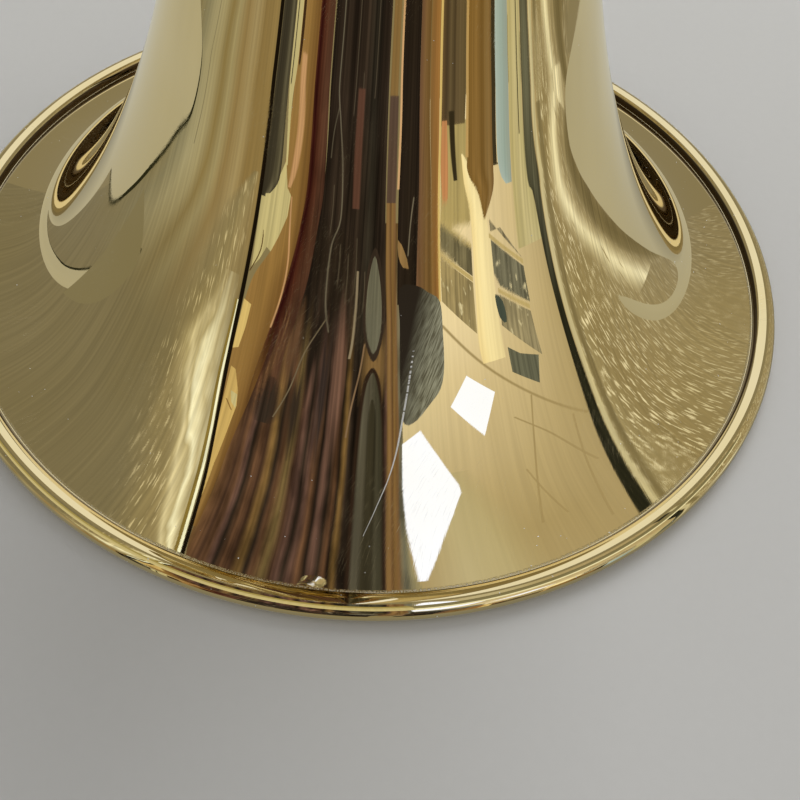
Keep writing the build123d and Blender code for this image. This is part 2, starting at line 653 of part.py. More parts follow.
# ---- Water keys ---------------------------------------------------------------------------------------
class KeyPlace:
    """Where a water key sits on a crook's outer side.

    leg is the (x, y) of the leg that the key's ears stand on, outward the direction in XY that the key
    faces, and angle how far round the crook, from the leg, its water hole lies. at() gives points of
    the key's own plane, outward from the leg and up.
    """

    def __init__(self, leg, outward, crook_z, crook_radius, angle, pivot_z):
        self.foot = Vector(leg[0], leg[1], 0)
        self.outward = Vector(*outward).normalized()
        self.pin_dir = self.outward.cross(UP)
        self.normal = self.outward * cos(radians(angle)) - UP * sin(radians(angle))
        self.crook_ends = (self.at(0, crook_z), self.at(-2 * crook_radius, crook_z))
        self.centre = self.at(-crook_radius, crook_z) + self.normal * crook_radius
        self.seat = self.centre + self.normal * (INNER + NIPPLE_HEIGHT + 0.02)
        self.pivot_out, self.pivot_z = SLEEVE + KEY_STAND, pivot_z
        self.pivot = self.at(self.pivot_out, pivot_z)

    def at(self, out, z):
        return self.foot + self.outward * out + UP * z


def water_hole(place):
    return rod(place.centre, place.centre + place.normal * (INNER + NIPPLE_HEIGHT + 1), WATER_HOLE)


def nipple(place):
    """The short spout that is soldered on the crook and that the cork closes."""
    start = place.centre + place.normal * (BORE + 0.2)
    spout = rod(start, place.centre + place.normal * (INNER + NIPPLE_HEIGHT), NIPPLE_RADIUS)
    return spout - water_hole(place) - crook_core(*place.crook_ends)


def key_cork(place):
    return rod(place.seat, place.seat + place.normal * CORK_THICKNESS, NIPPLE_RADIUS + 0.2)


def key_cup(place):
    """The cup at the lever's end that holds the cork."""
    outer, inner = NIPPLE_RADIUS + 1.1, NIPPLE_RADIUS + 0.25
    return turned(place.seat + place.normal * 0.6, place.normal, [
        (inner, 0), (outer, 0), (outer, CORK_THICKNESS + 0.2), (outer - 1.2, CORK_THICKNESS + 0.9),
        (0, CORK_THICKNESS + 0.9), (0, CORK_THICKNESS - 0.55), (inner, CORK_THICKNESS - 0.55),
    ])


def key_arm(place, touch_z, reach):
    """The bent strip from the cup over the pivot to the touch piece."""
    back = place.seat + place.normal * (CORK_THICKNESS + 0.6)
    back_out = (back - place.foot).dot(place.outward)
    spine = [
        (back_out, back.Z), (place.pivot_out + 1.6, (back.Z + place.pivot_z) / 2 + 3),
        (place.pivot_out, place.pivot_z), (reach - 0.4, (place.pivot_z + touch_z) / 2), (reach, touch_z),
    ]
    side = place.pin_dir * (KEY_WIDTH / 2)
    plane = Plane(origin=place.foot - side, x_dir=place.outward, z_dir=place.pin_dir)
    in_plane = [plane.to_local_coords(place.at(out, z) - side) for out, z in spine]
    arm = extrude(plane * strip([(p.X, p.Y) for p in in_plane], KEY_THICKNESS), KEY_WIDTH)
    cork_room = rod(place.seat - place.normal, place.seat + place.normal * (CORK_THICKNESS + 0.1),
                    NIPPLE_RADIUS + 0.25)
    return arm - cork_room


def key_lever(place, touch_z, reach):
    """The whole moving lever: cup, arm, touch piece, hub and pin."""
    touch = place.at(reach, touch_z)
    half_touch = place.outward * (KEY_THICKNESS / 2)
    half_hub = place.pin_dir * (KEY_WIDTH / 2)
    half_pin = place.pin_dir * (EAR_FAR + 0.6)
    pad = rod(touch - half_touch, touch + half_touch, 4.2)
    hub = rod(place.pivot - half_hub, place.pivot + half_hub, 2.0)
    pin = rod(place.pivot - half_pin, place.pivot + half_pin, KEY_PIN)
    return key_arm(place, touch_z, reach) + key_cup(place) + pad + hub + pin


def key_ears(place):
    """The two ears on the ferrule that carry the pin."""
    web_height = place.pivot_out - SLEEVE + 1.2
    ears = Part()
    for sign in (-1, 1):
        near = place.pivot + place.pin_dir * (sign * EAR_NEAR)
        far = place.pivot + place.pin_dir * (sign * EAR_FAR)
        web_centre = (near + far) / 2 - place.outward * web_height / 2
        web_plane = Plane(origin=web_centre, x_dir=place.outward, z_dir=place.pin_dir)
        ears += rod(near, far, 2.3) + web_plane * Box(web_height, 4.6, EAR_FAR - EAR_NEAR)
    ears -= rod(place.pivot - place.pin_dir * 8, place.pivot + place.pin_dir * 8, KEY_PIN + 0.05)
    return ears - rod(place.at(0, place.pivot_z - 10), place.at(0, place.pivot_z + 10), SLEEVE - 0.2)


def water_key(place, touch_z, reach):
    return {
        "hole": water_hole(place),
        "nipple": nipple(place),
        "cork": key_cork(place),
        "lever": key_lever(place, touch_z, reach),
        "ears": key_ears(place),
    }


def crook_core(first, second):
    """The windway of a downward crook, which its water nipple must leave clear."""
    ring = Plane(origin=first, z_dir=(0, 0, -1)) * Circle(BORE)
    pivot = (first + second) / 2
    return revolve(ring, Axis(pivot, Vector(0, 0, -1).cross(pivot - first)), 180)


def third_water_key():
    place = KeyPlace((SIDE_X, LOWER_LEG), (0, 1, 0), THIRD_CROOK_Z, CROOK_RADIUS, 38, pivot_z=128.0)
    return water_key(place, touch_z=143.0, reach=SLEEVE + 4.6)


def tuning_water_key():
    place = KeyPlace((VALVE_X, DROP), TUNING_OUTWARD, TUNING_CROOK_Z, TUNING_RADIUS, 27, pivot_z=156.0)
    return water_key(place, touch_z=189.0, reach=SLEEVE + 6.4)


# ---- Main tuning slide --------------------------------------------------------------------------------
TUNING_OUTWARD = Vector(VALVE_X - LEAD_X, DROP, 0).normalized()
TUNING_RADIUS = Vector(VALVE_X - LEAD_X, DROP, 0).length / 2
TUNING_LEGS = ((LEAD_X, 0), (VALVE_X, DROP))


def tuning_sleeves():
    """The two fixed sleeves: the upper ends on the leadpipe, the lower in valve 3's casing."""
    tops = (TUNING_SLEEVE_TOP, VALVE_Z[2])
    made = []
    for (x, y), top in zip(TUNING_LEGS, tops):
        sleeve = tube((x, y, TUNING_SLEEVE_END), (x, y, top), SLEEVE, SLEEVE_BORE)
        made.append(sleeve + ring_band((x, y, TUNING_SLEEVE_END), UP, BAND, SLEEVE_BORE))
    made[0] += ring_band((LEAD_X, 0, TUNING_SLEEVE_TOP), (0, 0, -1), SLEEVE + 0.4, SLEEVE_BORE, 2.4)
    made[1] -= casing_form(VALVE_Z[2])
    return {"tuning_upper_sleeve": made[0], "tuning_lower_sleeve": made[1]}


def tuning_slide():
    mouth = TUNING_SLEEVE_END - JOINT_LINE
    legs = slide_legs([(x, y, TUNING_CROOK_Z) for x, y in TUNING_LEGS],
                      [(x, y, TUNING_LEG_TOP) for x, y in TUNING_LEGS])
    ferrules = [ferrule((x, y, mouth), (x, y, TUNING_CROOK_Z)) for x, y in TUNING_LEGS]
    key = tuning_water_key()
    ferrules[1] += key["ears"]
    first, second = ((x, y, TUNING_CROOK_Z) for x, y in TUNING_LEGS)
    crook = half_crook(first, second, (0, 0, -1))
    return {
        "tuning_slide_legs": legs,
        "tuning_slide_ferrules": group(*ferrules),
        "tuning_slide_crook": crook - key["hole"] + key["nipple"],
        "tuning_slide_brace": tuning_brace(),
        "tuning_water_key_lever": key["lever"],
        "tuning_water_key_cork": key["cork"],
    }


def tuning_brace():
    """The turned stay between the tuning slide's two ferrules."""
    z = TUNING_CROOK_Z + 3.4
    start = Vector(LEAD_X, 0, z)
    length = 2 * TUNING_RADIUS
    near, far, middle = SLEEVE + 0.03, length - SLEEVE - 0.03, length / 2
    outline = stay_outline(near, far, middle)
    stay = turned(start, TUNING_OUTWARD, outline)
    for x, y in TUNING_LEGS:
        stay -= rod((x, y, z - 9), (x, y, z + 9), SLEEVE + 0.03)
    return stay


def stay_outline(near, far, middle):
    """A turned stay: a flared foot at each end and a bead in the middle; feet reach under the tubes."""
    sink = 1.2
    return [
        (0, near - sink), (3.4, near - sink), (3.4, near + 0.4), (2.6, near + 1.2), (1.9, near + 3.0),
        (1.9, middle - 3.0), (2.9, middle - 1.6), (3.2, middle), (2.9, middle + 1.6), (1.9, middle + 3.0),
        (1.9, far - 3.0), (2.6, far - 1.2), (3.4, far - 0.4), (3.4, far + sink), (0, far + sink),
    ]


# ---- Leadpipe, receiver, mouthpiece and stays ----------------------------------------------------------
def leadpipe():
    """The tapered pipe from the receiver to the tuning slide's upper sleeve."""
    return turned((LEAD_X, 0, 0), UP, [
        (BORE, LEADPIPE_START), (INNER, LEADPIPE_START), (INNER, TUNING_SLEEVE_TOP + 4),
        (LEADPIPE_TIP, RECEIVER_START), (LEADPIPE_TIP, LEADPIPE_END), (LEADPIPE_TIP_BORE, LEADPIPE_END),
        (BORE, TUNING_SLEEVE_TOP + 4),
    ])


def shank_radius(z):
    return SHANK_RADIUS + SHANK_TAPER * (z - SHANK_TIP)


def receiver():
    """The mouthpiece receiver: a tapered socket with a turned collar at its mouth."""
    bore = LEADPIPE_TIP + 0.02
    return turned((LEAD_X, 0, 0), UP, [
        (bore, RECEIVER_START), (bore + 0.7, RECEIVER_START), (bore + 1.1, RECEIVER_START + 2),
        (6.6, RECEIVER_START + 6), (7.3, RECEIVER_END - 15), (7.3, RECEIVER_END - 11),
        (8.3, RECEIVER_END - 10), (8.6, RECEIVER_END - 8), (8.3, RECEIVER_END - 6), (7.5, RECEIVER_END - 5),
        (7.7, RECEIVER_END - 2.4), (8.4, RECEIVER_END - 1.6), (8.4, RECEIVER_END - 0.5), (8.0, RECEIVER_END),
        (shank_radius(RECEIVER_END) + SHANK_GAP, RECEIVER_END),
        (shank_radius(LEADPIPE_END) + SHANK_GAP, LEADPIPE_END + 0.02), (bore, LEADPIPE_END + 0.02),
    ])


def mouthpiece():
    """A cup mouthpiece: shank, body, cup and rounded rim, drilled with throat and backbore."""
    end = MOUTHPIECE_END
    throat_z, cup_floor = end - 17.0, end - 12.5
    shank_end = RECEIVER_END + 7.0
    outside = [
        (4.2, SHANK_TIP), (SHANK_RADIUS, SHANK_TIP), (shank_radius(shank_end), shank_end),
    ]
    outer_rim, inner_rim, throat = 13.6, 8.2, 1.84
    shoulder = (outside[-1][0] + 0.25, shank_end + 0.8)
    outline = (
        Polyline((4.2, SHANK_TIP), (SHANK_RADIUS, SHANK_TIP), outside[-1], shoulder)
        + Spline(shoulder, (6.0, end - 41), (8.4, end - 22), (11.2, end - 11.5), tangents=[(0, 1), (0.4, 1)])
        + Line((11.2, end - 11.5), (11.7, end - 10.6))
        + Line((11.7, end - 10.6), (12.4, end - 5.0))
        + Spline((12.4, end - 5.0), (outer_rim, end - 2.6), (10.9, end), (inner_rim, end - 1.7),
                 tangents=[(0.4, 0.9), (-0.15, -1)])
        + Spline((inner_rim, end - 1.7), (7.4, end - 7.0), (4.6, end - 11.0), (throat, throat_z + 1.5),
                 tangents=[(-0.1, -1), (-0.1, -1)])
        + Line((throat, throat_z + 1.5), (throat, throat_z - 3.0))
        + Line((throat, throat_z - 3.0), (4.2, SHANK_TIP))
    )
    return revolve(Pos(LEAD_X, 0, 0) * Plane.XZ * make_face(outline), Axis((LEAD_X, 0, 0), (0, 0, 1)), 360)


def bell_stay(z, lead_radius):
    """A stay from the bell's side to the leadpipe."""
    reach = -LEAD_X
    near, far = bell_radius(z) + 0.06, reach - lead_radius - 0.03
    stay = turned((0, 0, z), (-1, 0, 0), stay_outline(near, far, (near + far) / 2))
    flange = rod((-bell_radius(z) - 3, 0, z), (-bell_radius(z) + 4, 0, z), 5.0) & bell_form(0.9)
    stay += flange
    stay -= bell_form(0.06)
    return stay - rod((LEAD_X, 0, z - 9), (LEAD_X, 0, z + 9), lead_radius + 0.03)


def leadpipe_radius(z):
    start, end = TUNING_SLEEVE_TOP + 4, RECEIVER_START
    return INNER + (LEADPIPE_TIP - INNER) * (z - start) / (end - start)


def leadpipe_form(z):
    """The leadpipe's outside near z, to cut a brace's foot to."""
    return rod((LEAD_X, 0, z - 9), (LEAD_X, 0, z + 9), leadpipe_radius(z) + SOLDER_GAP)


# ---- Everything, by node name -------------------------------------------------------------------------
def build():
    nodes = {
        "bell": bell(),
        "bell_rim_wire": rim_wire(),
        "bell_bow": bell_bow(),
        "bell_bow_ferrules": bow_ferrules(),
        "bell_lower_leg": bell_lower_leg(),
        "valve_crossovers": crossovers(),
        "top_caps": caps(top_cap()),
        "bottom_caps": caps(bottom_cap()),
        "valve_guides": valve_guides(),
        "third_slide_sleeves": side_sleeves(VALVE_Z[2], -1, THIRD_SLEEVE_END),
        "first_slide_sleeves": side_sleeves(VALVE_Z[0], 1, FIRST_SLEEVE_END),
        "second_slide_sleeves": second_sleeves(),
        "leadpipe": leadpipe(),
        "mouthpiece_receiver": receiver(),
        "mouthpiece": mouthpiece(),
        "front_bell_stay": bell_stay(176.0, SLEEVE),
        "rear_bell_stay": bell_stay(362.0, leadpipe_radius(362.0)),
        "pinky_hook": pinky_hook(),
    }
    nodes.update(tuning_sleeves())
    for number, z in enumerate(VALVE_Z, start=1):
        nodes[f"valve_casing_{number}"] = casing(number, z)
        nodes[f"piston_{number}"] = piston(number, z)
        nodes[f"valve_spring_{number}"] = valve_spring(z)
        nodes[f"valve_stem_{number}"] = valve_stem(z)
        nodes[f"finger_button_{number}"] = finger_button(z)
        nodes[f"button_pearl_{number}"] = button_pearl(z)
        nodes[f"stem_felts_{number}"] = stem_felts(z)
    for slide in (tuning_slide(), first_slide(), second_slide(), third_slide()):
        nodes.update(slide)
    return nodes


def main():
    os.makedirs("parts", exist_ok=True)
    for name, shape in build().items():
        export_step(shape, f"parts/{name}.step")


main()
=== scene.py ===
"""Looks of the trumpet: lacquered brass on a pale table, standing on its bell.

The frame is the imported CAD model, in metres: the origin is the centre of the bell's rim, +Z runs up the
bell's axis, and the valve buttons are at -Y, where the camera stands.
"""
import bpy
import json
from math import cos, exp, hypot, pi, radians, sin
from mathutils import Matrix, Quaternion, Vector
from mathutils.geometry import tessellate_polygon
from bisect import bisect


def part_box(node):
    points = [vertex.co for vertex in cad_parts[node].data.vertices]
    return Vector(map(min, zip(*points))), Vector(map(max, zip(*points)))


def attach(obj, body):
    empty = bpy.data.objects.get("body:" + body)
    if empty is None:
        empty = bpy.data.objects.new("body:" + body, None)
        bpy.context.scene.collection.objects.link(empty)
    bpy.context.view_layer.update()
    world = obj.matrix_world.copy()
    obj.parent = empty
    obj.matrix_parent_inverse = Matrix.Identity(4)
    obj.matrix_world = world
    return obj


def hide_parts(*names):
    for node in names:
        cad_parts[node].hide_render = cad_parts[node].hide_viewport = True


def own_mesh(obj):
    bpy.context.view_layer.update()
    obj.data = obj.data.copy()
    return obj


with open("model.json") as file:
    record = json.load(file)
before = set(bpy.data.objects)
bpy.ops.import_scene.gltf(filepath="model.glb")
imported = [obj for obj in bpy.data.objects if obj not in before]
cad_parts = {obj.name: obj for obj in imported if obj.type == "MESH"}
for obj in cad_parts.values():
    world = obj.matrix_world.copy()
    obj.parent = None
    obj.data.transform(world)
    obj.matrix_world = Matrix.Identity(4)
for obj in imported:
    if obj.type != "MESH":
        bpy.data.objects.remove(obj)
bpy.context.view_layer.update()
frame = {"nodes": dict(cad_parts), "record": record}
MM = 0.001
CAMERA_PLACE = Vector((0, -120.34, 120.16)) * MM
CAMERA_YAW, CAMERA_PITCH, CAMERA_ROLL = -0.0362, -0.1269, -0.061    # radians from looking at the origin
CAMERA_LENS = 49.5


# ---- Camera ----
def make_camera():
    """A phone's view from a hand's breadth in front of the bell, looking down at its flare."""
    forward = -CAMERA_PLACE.normalized()
    right = Vector((1, 0, 0))
    up = right.cross(forward)
    turn = Quaternion(up, CAMERA_YAW)
    forward, right = turn @ forward, turn @ right
    turn = Quaternion(right, CAMERA_PITCH)
    forward, up = turn @ forward, turn @ up
    turn = Quaternion(forward, CAMERA_ROLL)
    right, up = turn @ right, turn @ up
    data = bpy.data.cameras.new("camera")
    data.lens = CAMERA_LENS
    data.sensor_width = 36.0
    data.clip_start = 0.005
    data.clip_end = 20.0
    camera = bpy.data.objects.new("camera", data)
    turned = Matrix((right, up, -forward)).transposed().to_4x4()
    camera.matrix_world = Matrix.Translation(CAMERA_PLACE) @ turned
    bpy.context.scene.collection.objects.link(camera)
    bpy.context.scene.camera = camera


# ---- Node helpers ----
class Nodes:
    """Short calls for building a node tree."""

    def __init__(self, tree):
        self.tree = tree
        tree.nodes.clear()

    def add(self, kind, **settings):
        node = self.tree.nodes.new(kind)
        for key, value in settings.items():
            setattr(node, key, value)
        return node

    def link(self, source, target):
        self.tree.links.new(source, target)

    def feed(self, socket, value):
        """Sets a socket to a number or colour, or links it to an output."""
        if isinstance(value, bpy.types.NodeSocket):
            self.link(value, socket)
        else:
            socket.default_value = value

    def math(self, operation, *values, clamp=False):
        node = self.add("ShaderNodeMath", operation=operation, use_clamp=clamp)
        for socket, value in zip(node.inputs, values):
            self.feed(socket, value)
        return node.outputs[0]

    def mix(self, factor, first, second, blend="MIX"):
        node = self.add("ShaderNodeMix", data_type="RGBA", blend_type=blend)
        self.feed(node.inputs["Factor"], factor)
        self.feed(node.inputs[6], first)
        self.feed(node.inputs[7], second)
        return node.outputs[2]

    def ramp(self, value, low, high, start=0.0, end=1.0):
        """Maps low..high to start..end, clamped."""
        node = self.add("ShaderNodeMapRange")
        self.feed(node.inputs["Value"], value)
        for name, number in (("From Min", low), ("From Max", high), ("To Min", start), ("To Max", end)):
            self.feed(node.inputs[name], number)
        return node.outputs[0]

    def noise(self, vector, scale, detail=2.0, roughness=0.5, distortion=0.0):
        node = self.add("ShaderNodeTexNoise")
        self.feed(node.inputs["Vector"], vector)
        node.inputs["Scale"].default_value = scale
        node.inputs["Detail"].default_value = detail
        node.inputs["Roughness"].default_value = roughness
        node.inputs["Distortion"].default_value = distortion
        return node.outputs["Fac"]

    def times(self, first, second):
        return self.math("MULTIPLY", first, second)

    def plus(self, first, second):
        return self.math("ADD", first, second)

    def minus(self, first, second):
        return self.math("SUBTRACT", first, second)

    def from_axis(self, x, y):
        """How far a point is from the bell's axis."""
        return self.math("SQRT", self.plus(self.times(x, x), self.times(y, y)))

    def shade(self, color, factor):
        return self.mix(1.0, color, self.combine(factor, factor, factor), blend="MULTIPLY")

    def uv(self, name):
        split = self.add("ShaderNodeSeparateXYZ")
        self.link(self.add("ShaderNodeUVMap", uv_map=name).outputs[0], split.inputs[0])
        return split.outputs[:2]

    def emission(self, color):
        shader = self.add("ShaderNodeEmission")
        self.feed(shader.inputs["Color"], color)
        return shader.outputs[0]

    def blend(self, factor, first, second):
        """Mixes two shaders."""
        mixed = self.add("ShaderNodeMixShader")
        for socket, value in zip(mixed.inputs, (factor, first, second)):
            self.link(value, socket)
        return mixed.outputs[0]

    def principled(self, color, roughness, **settings):
        """A Principled shader; settings are its other sockets, such as coat_weight."""
        shader = self.add("ShaderNodeBsdfPrincipled")
        self.feed(shader.inputs["Base Color"], color)
        self.feed(shader.inputs["Roughness"], roughness)
        for name, value in settings.items():
            self.feed(shader.inputs[name.replace("_", " ").title()], value)
        return shader

    def bump(self, shader, height, strength, distance):
        node = self.add("ShaderNodeBump")
        node.inputs["Strength"].default_value = strength
        node.inputs["Distance"].default_value = distance
        self.link(height, node.inputs["Height"])
        self.link(node.outputs[0], shader.inputs["Normal"])

    def surface(self, shader, kind="Material"):
        self.link(shader, self.add(f"ShaderNodeOutput{kind}").inputs["Surface"])

    def combine(self, x, y, z):
        node = self.add("ShaderNodeCombineXYZ")
        for socket, value in zip(node.inputs, (x, y, z)):
            self.feed(socket, value)
        return node.outputs[0]

    def place(self):
        """Position in the object's own coordinates, as separate x, y and z."""
        coordinates = self.add("ShaderNodeTexCoord").outputs["Object"]
        split = self.add("ShaderNodeSeparateXYZ")
        self.link(coordinates, split.inputs[0])
        return coordinates, *split.outputs[:3]


def new_material(name):
    material = bpy.data.materials.new(name)
    material.use_nodes = True
    return material, Nodes(material.node_tree)


# ---- Materials ----
BRASS = (0.82, 0.70, 0.42, 1)
BRASS_WARM = (0.80, 0.67, 0.37, 1)
DUST = (0.86, 0.85, 0.80, 1)
TABLE_TONE = (0.60, 0.60, 0.585, 1)
TABLE_PALE = (0.64, 0.64, 0.63, 1)
TABLE_GRAIN = (0.55, 0.55, 0.54, 1)
BACKGROUND = (0.50, 0.50, 0.49, 1)

# The scratch on the flare: (height in mm, angle about the bell's axis in degrees), from foot to head
SCRATCH = ((3.6, 1.4), (5.4, 3.2), (9.0, 5.7), (14.0, 7.5), (21.1, 9.5))
SCRATCH_TOP = 0.0211
SCRATCH_FOOT = 0.0036
SCRATCH_TURN = 10.0         # degrees that the scratch's curve spans
SEAM_RADIUS = 0.05806       # in metres, where the bead meets the flare
SEAM_TOP = 0.0035
GRAIN_INSIDE = 0.00006      # the grainy line lies this far inside the seam, and the painted groove shade outside it
GROOVE_OUTSIDE = 0.00036
# The colour of the painted shade: a dark line for the crevice just outside the seam
SEAM_SHADE = (0.07, 0.045, 0.02, 1)


def scratch_mask(n, angle, radius, z):
    """1 on the scratch: fine and solid low down, dotted in its upper part."""
    curve = n.add("ShaderNodeFloatCurve")
    low, high = SCRATCH[0][0], SCRATCH[-1][0]
    line = curve.mapping.curves[0]
    places = [((height - low) / (high - low), turn / SCRATCH_TURN) for height, turn in SCRATCH]
    line.points[0].location, line.points[1].location = places[0], places[-1]
    for place in places[1:-1]:
        line.points.new(*place)
    curve.mapping.update()
    rise = n.ramp(z, SCRATCH_FOOT, SCRATCH_TOP)
    n.link(rise, curve.inputs["Value"])
    line_angle = n.times(curve.outputs[0], radians(SCRATCH_TURN))
    away = n.math("ABSOLUTE", n.times(n.minus(angle, line_angle), radius))
    wide = n.ramp(rise, 0.0, 0.45, 0.00003, 0.00011)
    near = n.math("LESS_THAN", away, wide)
    front = n.math("LESS_THAN", n.math("ABSOLUTE", angle), 0.3)
    below = n.math("LESS_THAN", z, SCRATCH_TOP)
    above = n.math("GREATER_THAN", z, SCRATCH_FOOT)
    dots = n.noise(n.combine(0.0, 0.0, z), 3600.0, detail=1.0)
    dotted = n.math("GREATER_THAN", dots, n.ramp(rise, 0.35, 1.0, 0.25, 0.56))
    mask = near
    for part in (front, below, above, dotted):
        mask = n.times(mask, part)
    return mask


def hand_marks(n, angle, radius, z):
    """Fine slanting lines of hand buffing, in patches: how worn the brass is, and the pale lines alone."""
    around = n.times(angle, 0.045)
    slanted = n.combine(n.minus(around, z), n.times(n.plus(around, z), 0.04), 0.0)
    lines = n.noise(slanted, 9000.0, detail=2.0)
    patches = n.noise(n.combine(around, z, 0.3), 70.0, detail=1.0)
    area = n.ramp(patches, 0.50, 0.66)
    return n.times(lines, area), n.times(n.ramp(lines, 0.60, 0.74), area)


def dust_specks(n, coordinates, z):
    """A few pale specks, most of them low on the flare."""
    grains = n.noise(coordinates, 2600.0, detail=0.0)
    return n.math("GREATER_THAN", grains, n.ramp(z, 0.002, 0.010, 0.875, 0.93))


def bell_brass():
    """Clear-lacquered brass with hand-buffing marks, dust, a grainy line at the seam, a painted shade line
    just outside it, and a long scratch.
    """
    material, n = new_material("bell_lacquered_brass")
    coordinates, x, y, z = n.place()
    angle = n.math("ARCTAN2", x, n.times(y, -1.0))
    radius = n.from_axis(x, y)
    patches = n.noise(coordinates, 55.0, detail=2.0)
    marks, scuffs = hand_marks(n, angle, radius, z)
    ripple = n.noise(coordinates, 90.0, detail=1.0)
    blemish = n.math("MAXIMUM", scratch_mask(n, angle, radius, z), dust_specks(n, coordinates, z))
    outside = n.minus(radius, SEAM_RADIUS)
    low = n.math("LESS_THAN", z, SEAM_TOP)
    grain_line = n.ramp(n.math("ABSOLUTE", n.plus(outside, GRAIN_INSIDE)), 0.00006, 0.00022, 1.0, 0.0)
    seam_grain = n.times(grain_line, n.ramp(n.noise(coordinates, 5200.0, detail=2.0), 0.42, 0.6))
    # Painted shade: a dark line on the fold's top, just outside the seam, stands in for the shade in the
    # crevice there
    groove_line = n.ramp(n.math("ABSOLUTE", n.minus(outside, GROOVE_OUTSIDE)), 0.0002, 0.0003, 1.0, 0.0)
    groove = n.times(groove_line, low)
    color = n.mix(n.ramp(patches, 0.35, 0.7), BRASS, BRASS_WARM)
    color = n.mix(blemish, color, DUST)
    color = n.mix(n.times(seam_grain, 0.5), color, DUST)
    color = n.mix(groove, color, SEAM_SHADE)
    metallic = n.minus(n.ramp(blemish, 0.0, 1.0, 1.0, 0.0), n.times(scuffs, 0.28))
    worn = n.plus(n.ramp(marks, 0.0, 0.7, 0.010, 0.022), n.times(seam_grain, 0.35))
    shader = n.principled(color, n.plus(worn, n.times(blemish, 0.5)), metallic=metallic, coat_weight=0.35,
        coat_roughness=0.02)
    relief = n.plus(n.times(marks, 0.25), n.times(seam_grain, 1.6))
    n.bump(shader, n.plus(relief, ripple), 0.10, 0.00002)
    n.surface(shader.outputs[0])
    return material


def metal(name, color, tint, roughness, coat=0.0):
    """Polished metal with a fine grain, tarnish and fingerprints."""
    material, n = new_material(name)
    coordinates = n.place()[0]
    haze = n.noise(coordinates, 45.0, detail=5.0, distortion=0.6)
    fine = n.noise(coordinates, 1500.0, detail=2.0)
    smudge = n.plus(n.ramp(haze, 0.4, 0.8, roughness, roughness * 2.4),
        n.times(n.ramp(fine, 0.5, 0.8), roughness))
    shader = n.principled(n.mix(n.ramp(haze, 0.35, 0.75), color, tint), smudge, metallic=1.0,
        coat_weight=coat, coat_roughness=0.03)
    n.surface(shader.outputs[0])
    return material


def felt():
    material, n = new_material("felt")
    coordinates = n.place()[0]
    fibres = n.noise(coordinates, 1900.0, detail=4.0, distortion=1.5)
    shader = n.principled(n.mix(fibres, (0.40, 0.38, 0.33, 1), (0.80, 0.78, 0.70, 1)), 0.95,
        sheen_weight=0.5)
    n.bump(shader, fibres, 0.8, 0.0004)
    n.surface(shader.outputs[0])
    return material


def cork():
    material, n = new_material("cork")
    coordinates = n.place()[0]
    grain = n.noise(coordinates, 700.0, detail=5.0, distortion=0.8)
    pores = n.ramp(n.noise(coordinates, 1500.0, detail=1.0), 0.60, 0.68)
    base = n.mix(grain, (0.42, 0.26, 0.13, 1), (0.66, 0.46, 0.27, 1))
    shader = n.principled(n.mix(pores, base, (0.16, 0.09, 0.045, 1)), 0.85)
    n.bump(shader, n.minus(grain, pores), 0.5, 0.0003)
    n.surface(shader.outputs[0])
    return material


def pearl():
    """Mother-of-pearl: pale bands that drift between rose, green and blue."""
    material, n = new_material("pearl")
    coordinates = n.place()[0]
    drift = n.noise(coordinates, 130.0, detail=3.0, distortion=2.5)
    bands = n.add("ShaderNodeValToRGB")
    n.link(drift, bands.inputs[0])
    ramp = bands.color_ramp
    tones = ((0.30, (0.86, 0.80, 0.78, 1)), (0.42, (0.78, 0.87, 0.82, 1)), (0.52, (0.90, 0.89, 0.85, 1)),
        (0.60, (0.76, 0.82, 0.90, 1)), (0.72, (0.92, 0.86, 0.84, 1)))
    ramp.elements[0].position, ramp.elements[0].color = tones[0]
    ramp.elements[1].position, ramp.elements[1].color = tones[-1]
    for place, tone in tones[1:-1]:
        ramp.elements.new(place).color = tone
    shader = n.principled(bands.outputs[0], n.ramp(drift, 0.3, 0.7, 0.10, 0.24), coat_weight=0.8)
    n.surface(shader.outputs[0])
    return material


def glow(name, color):
    """A plain card that gives light of one colour."""
    material, n = new_material(name)
    n.surface(n.emission(color))
    return material


RAGGED = 12.0               # how far apart in reach a card's ragged streaks end


def seen(red, green, blue):
    """The light that a card gives, so that it shows in the brass with this 0-255 colour."""
    return (*(((c / 255) ** 2.2) / tint for c, tint in zip((red, green, blue), BRASS)), 1)


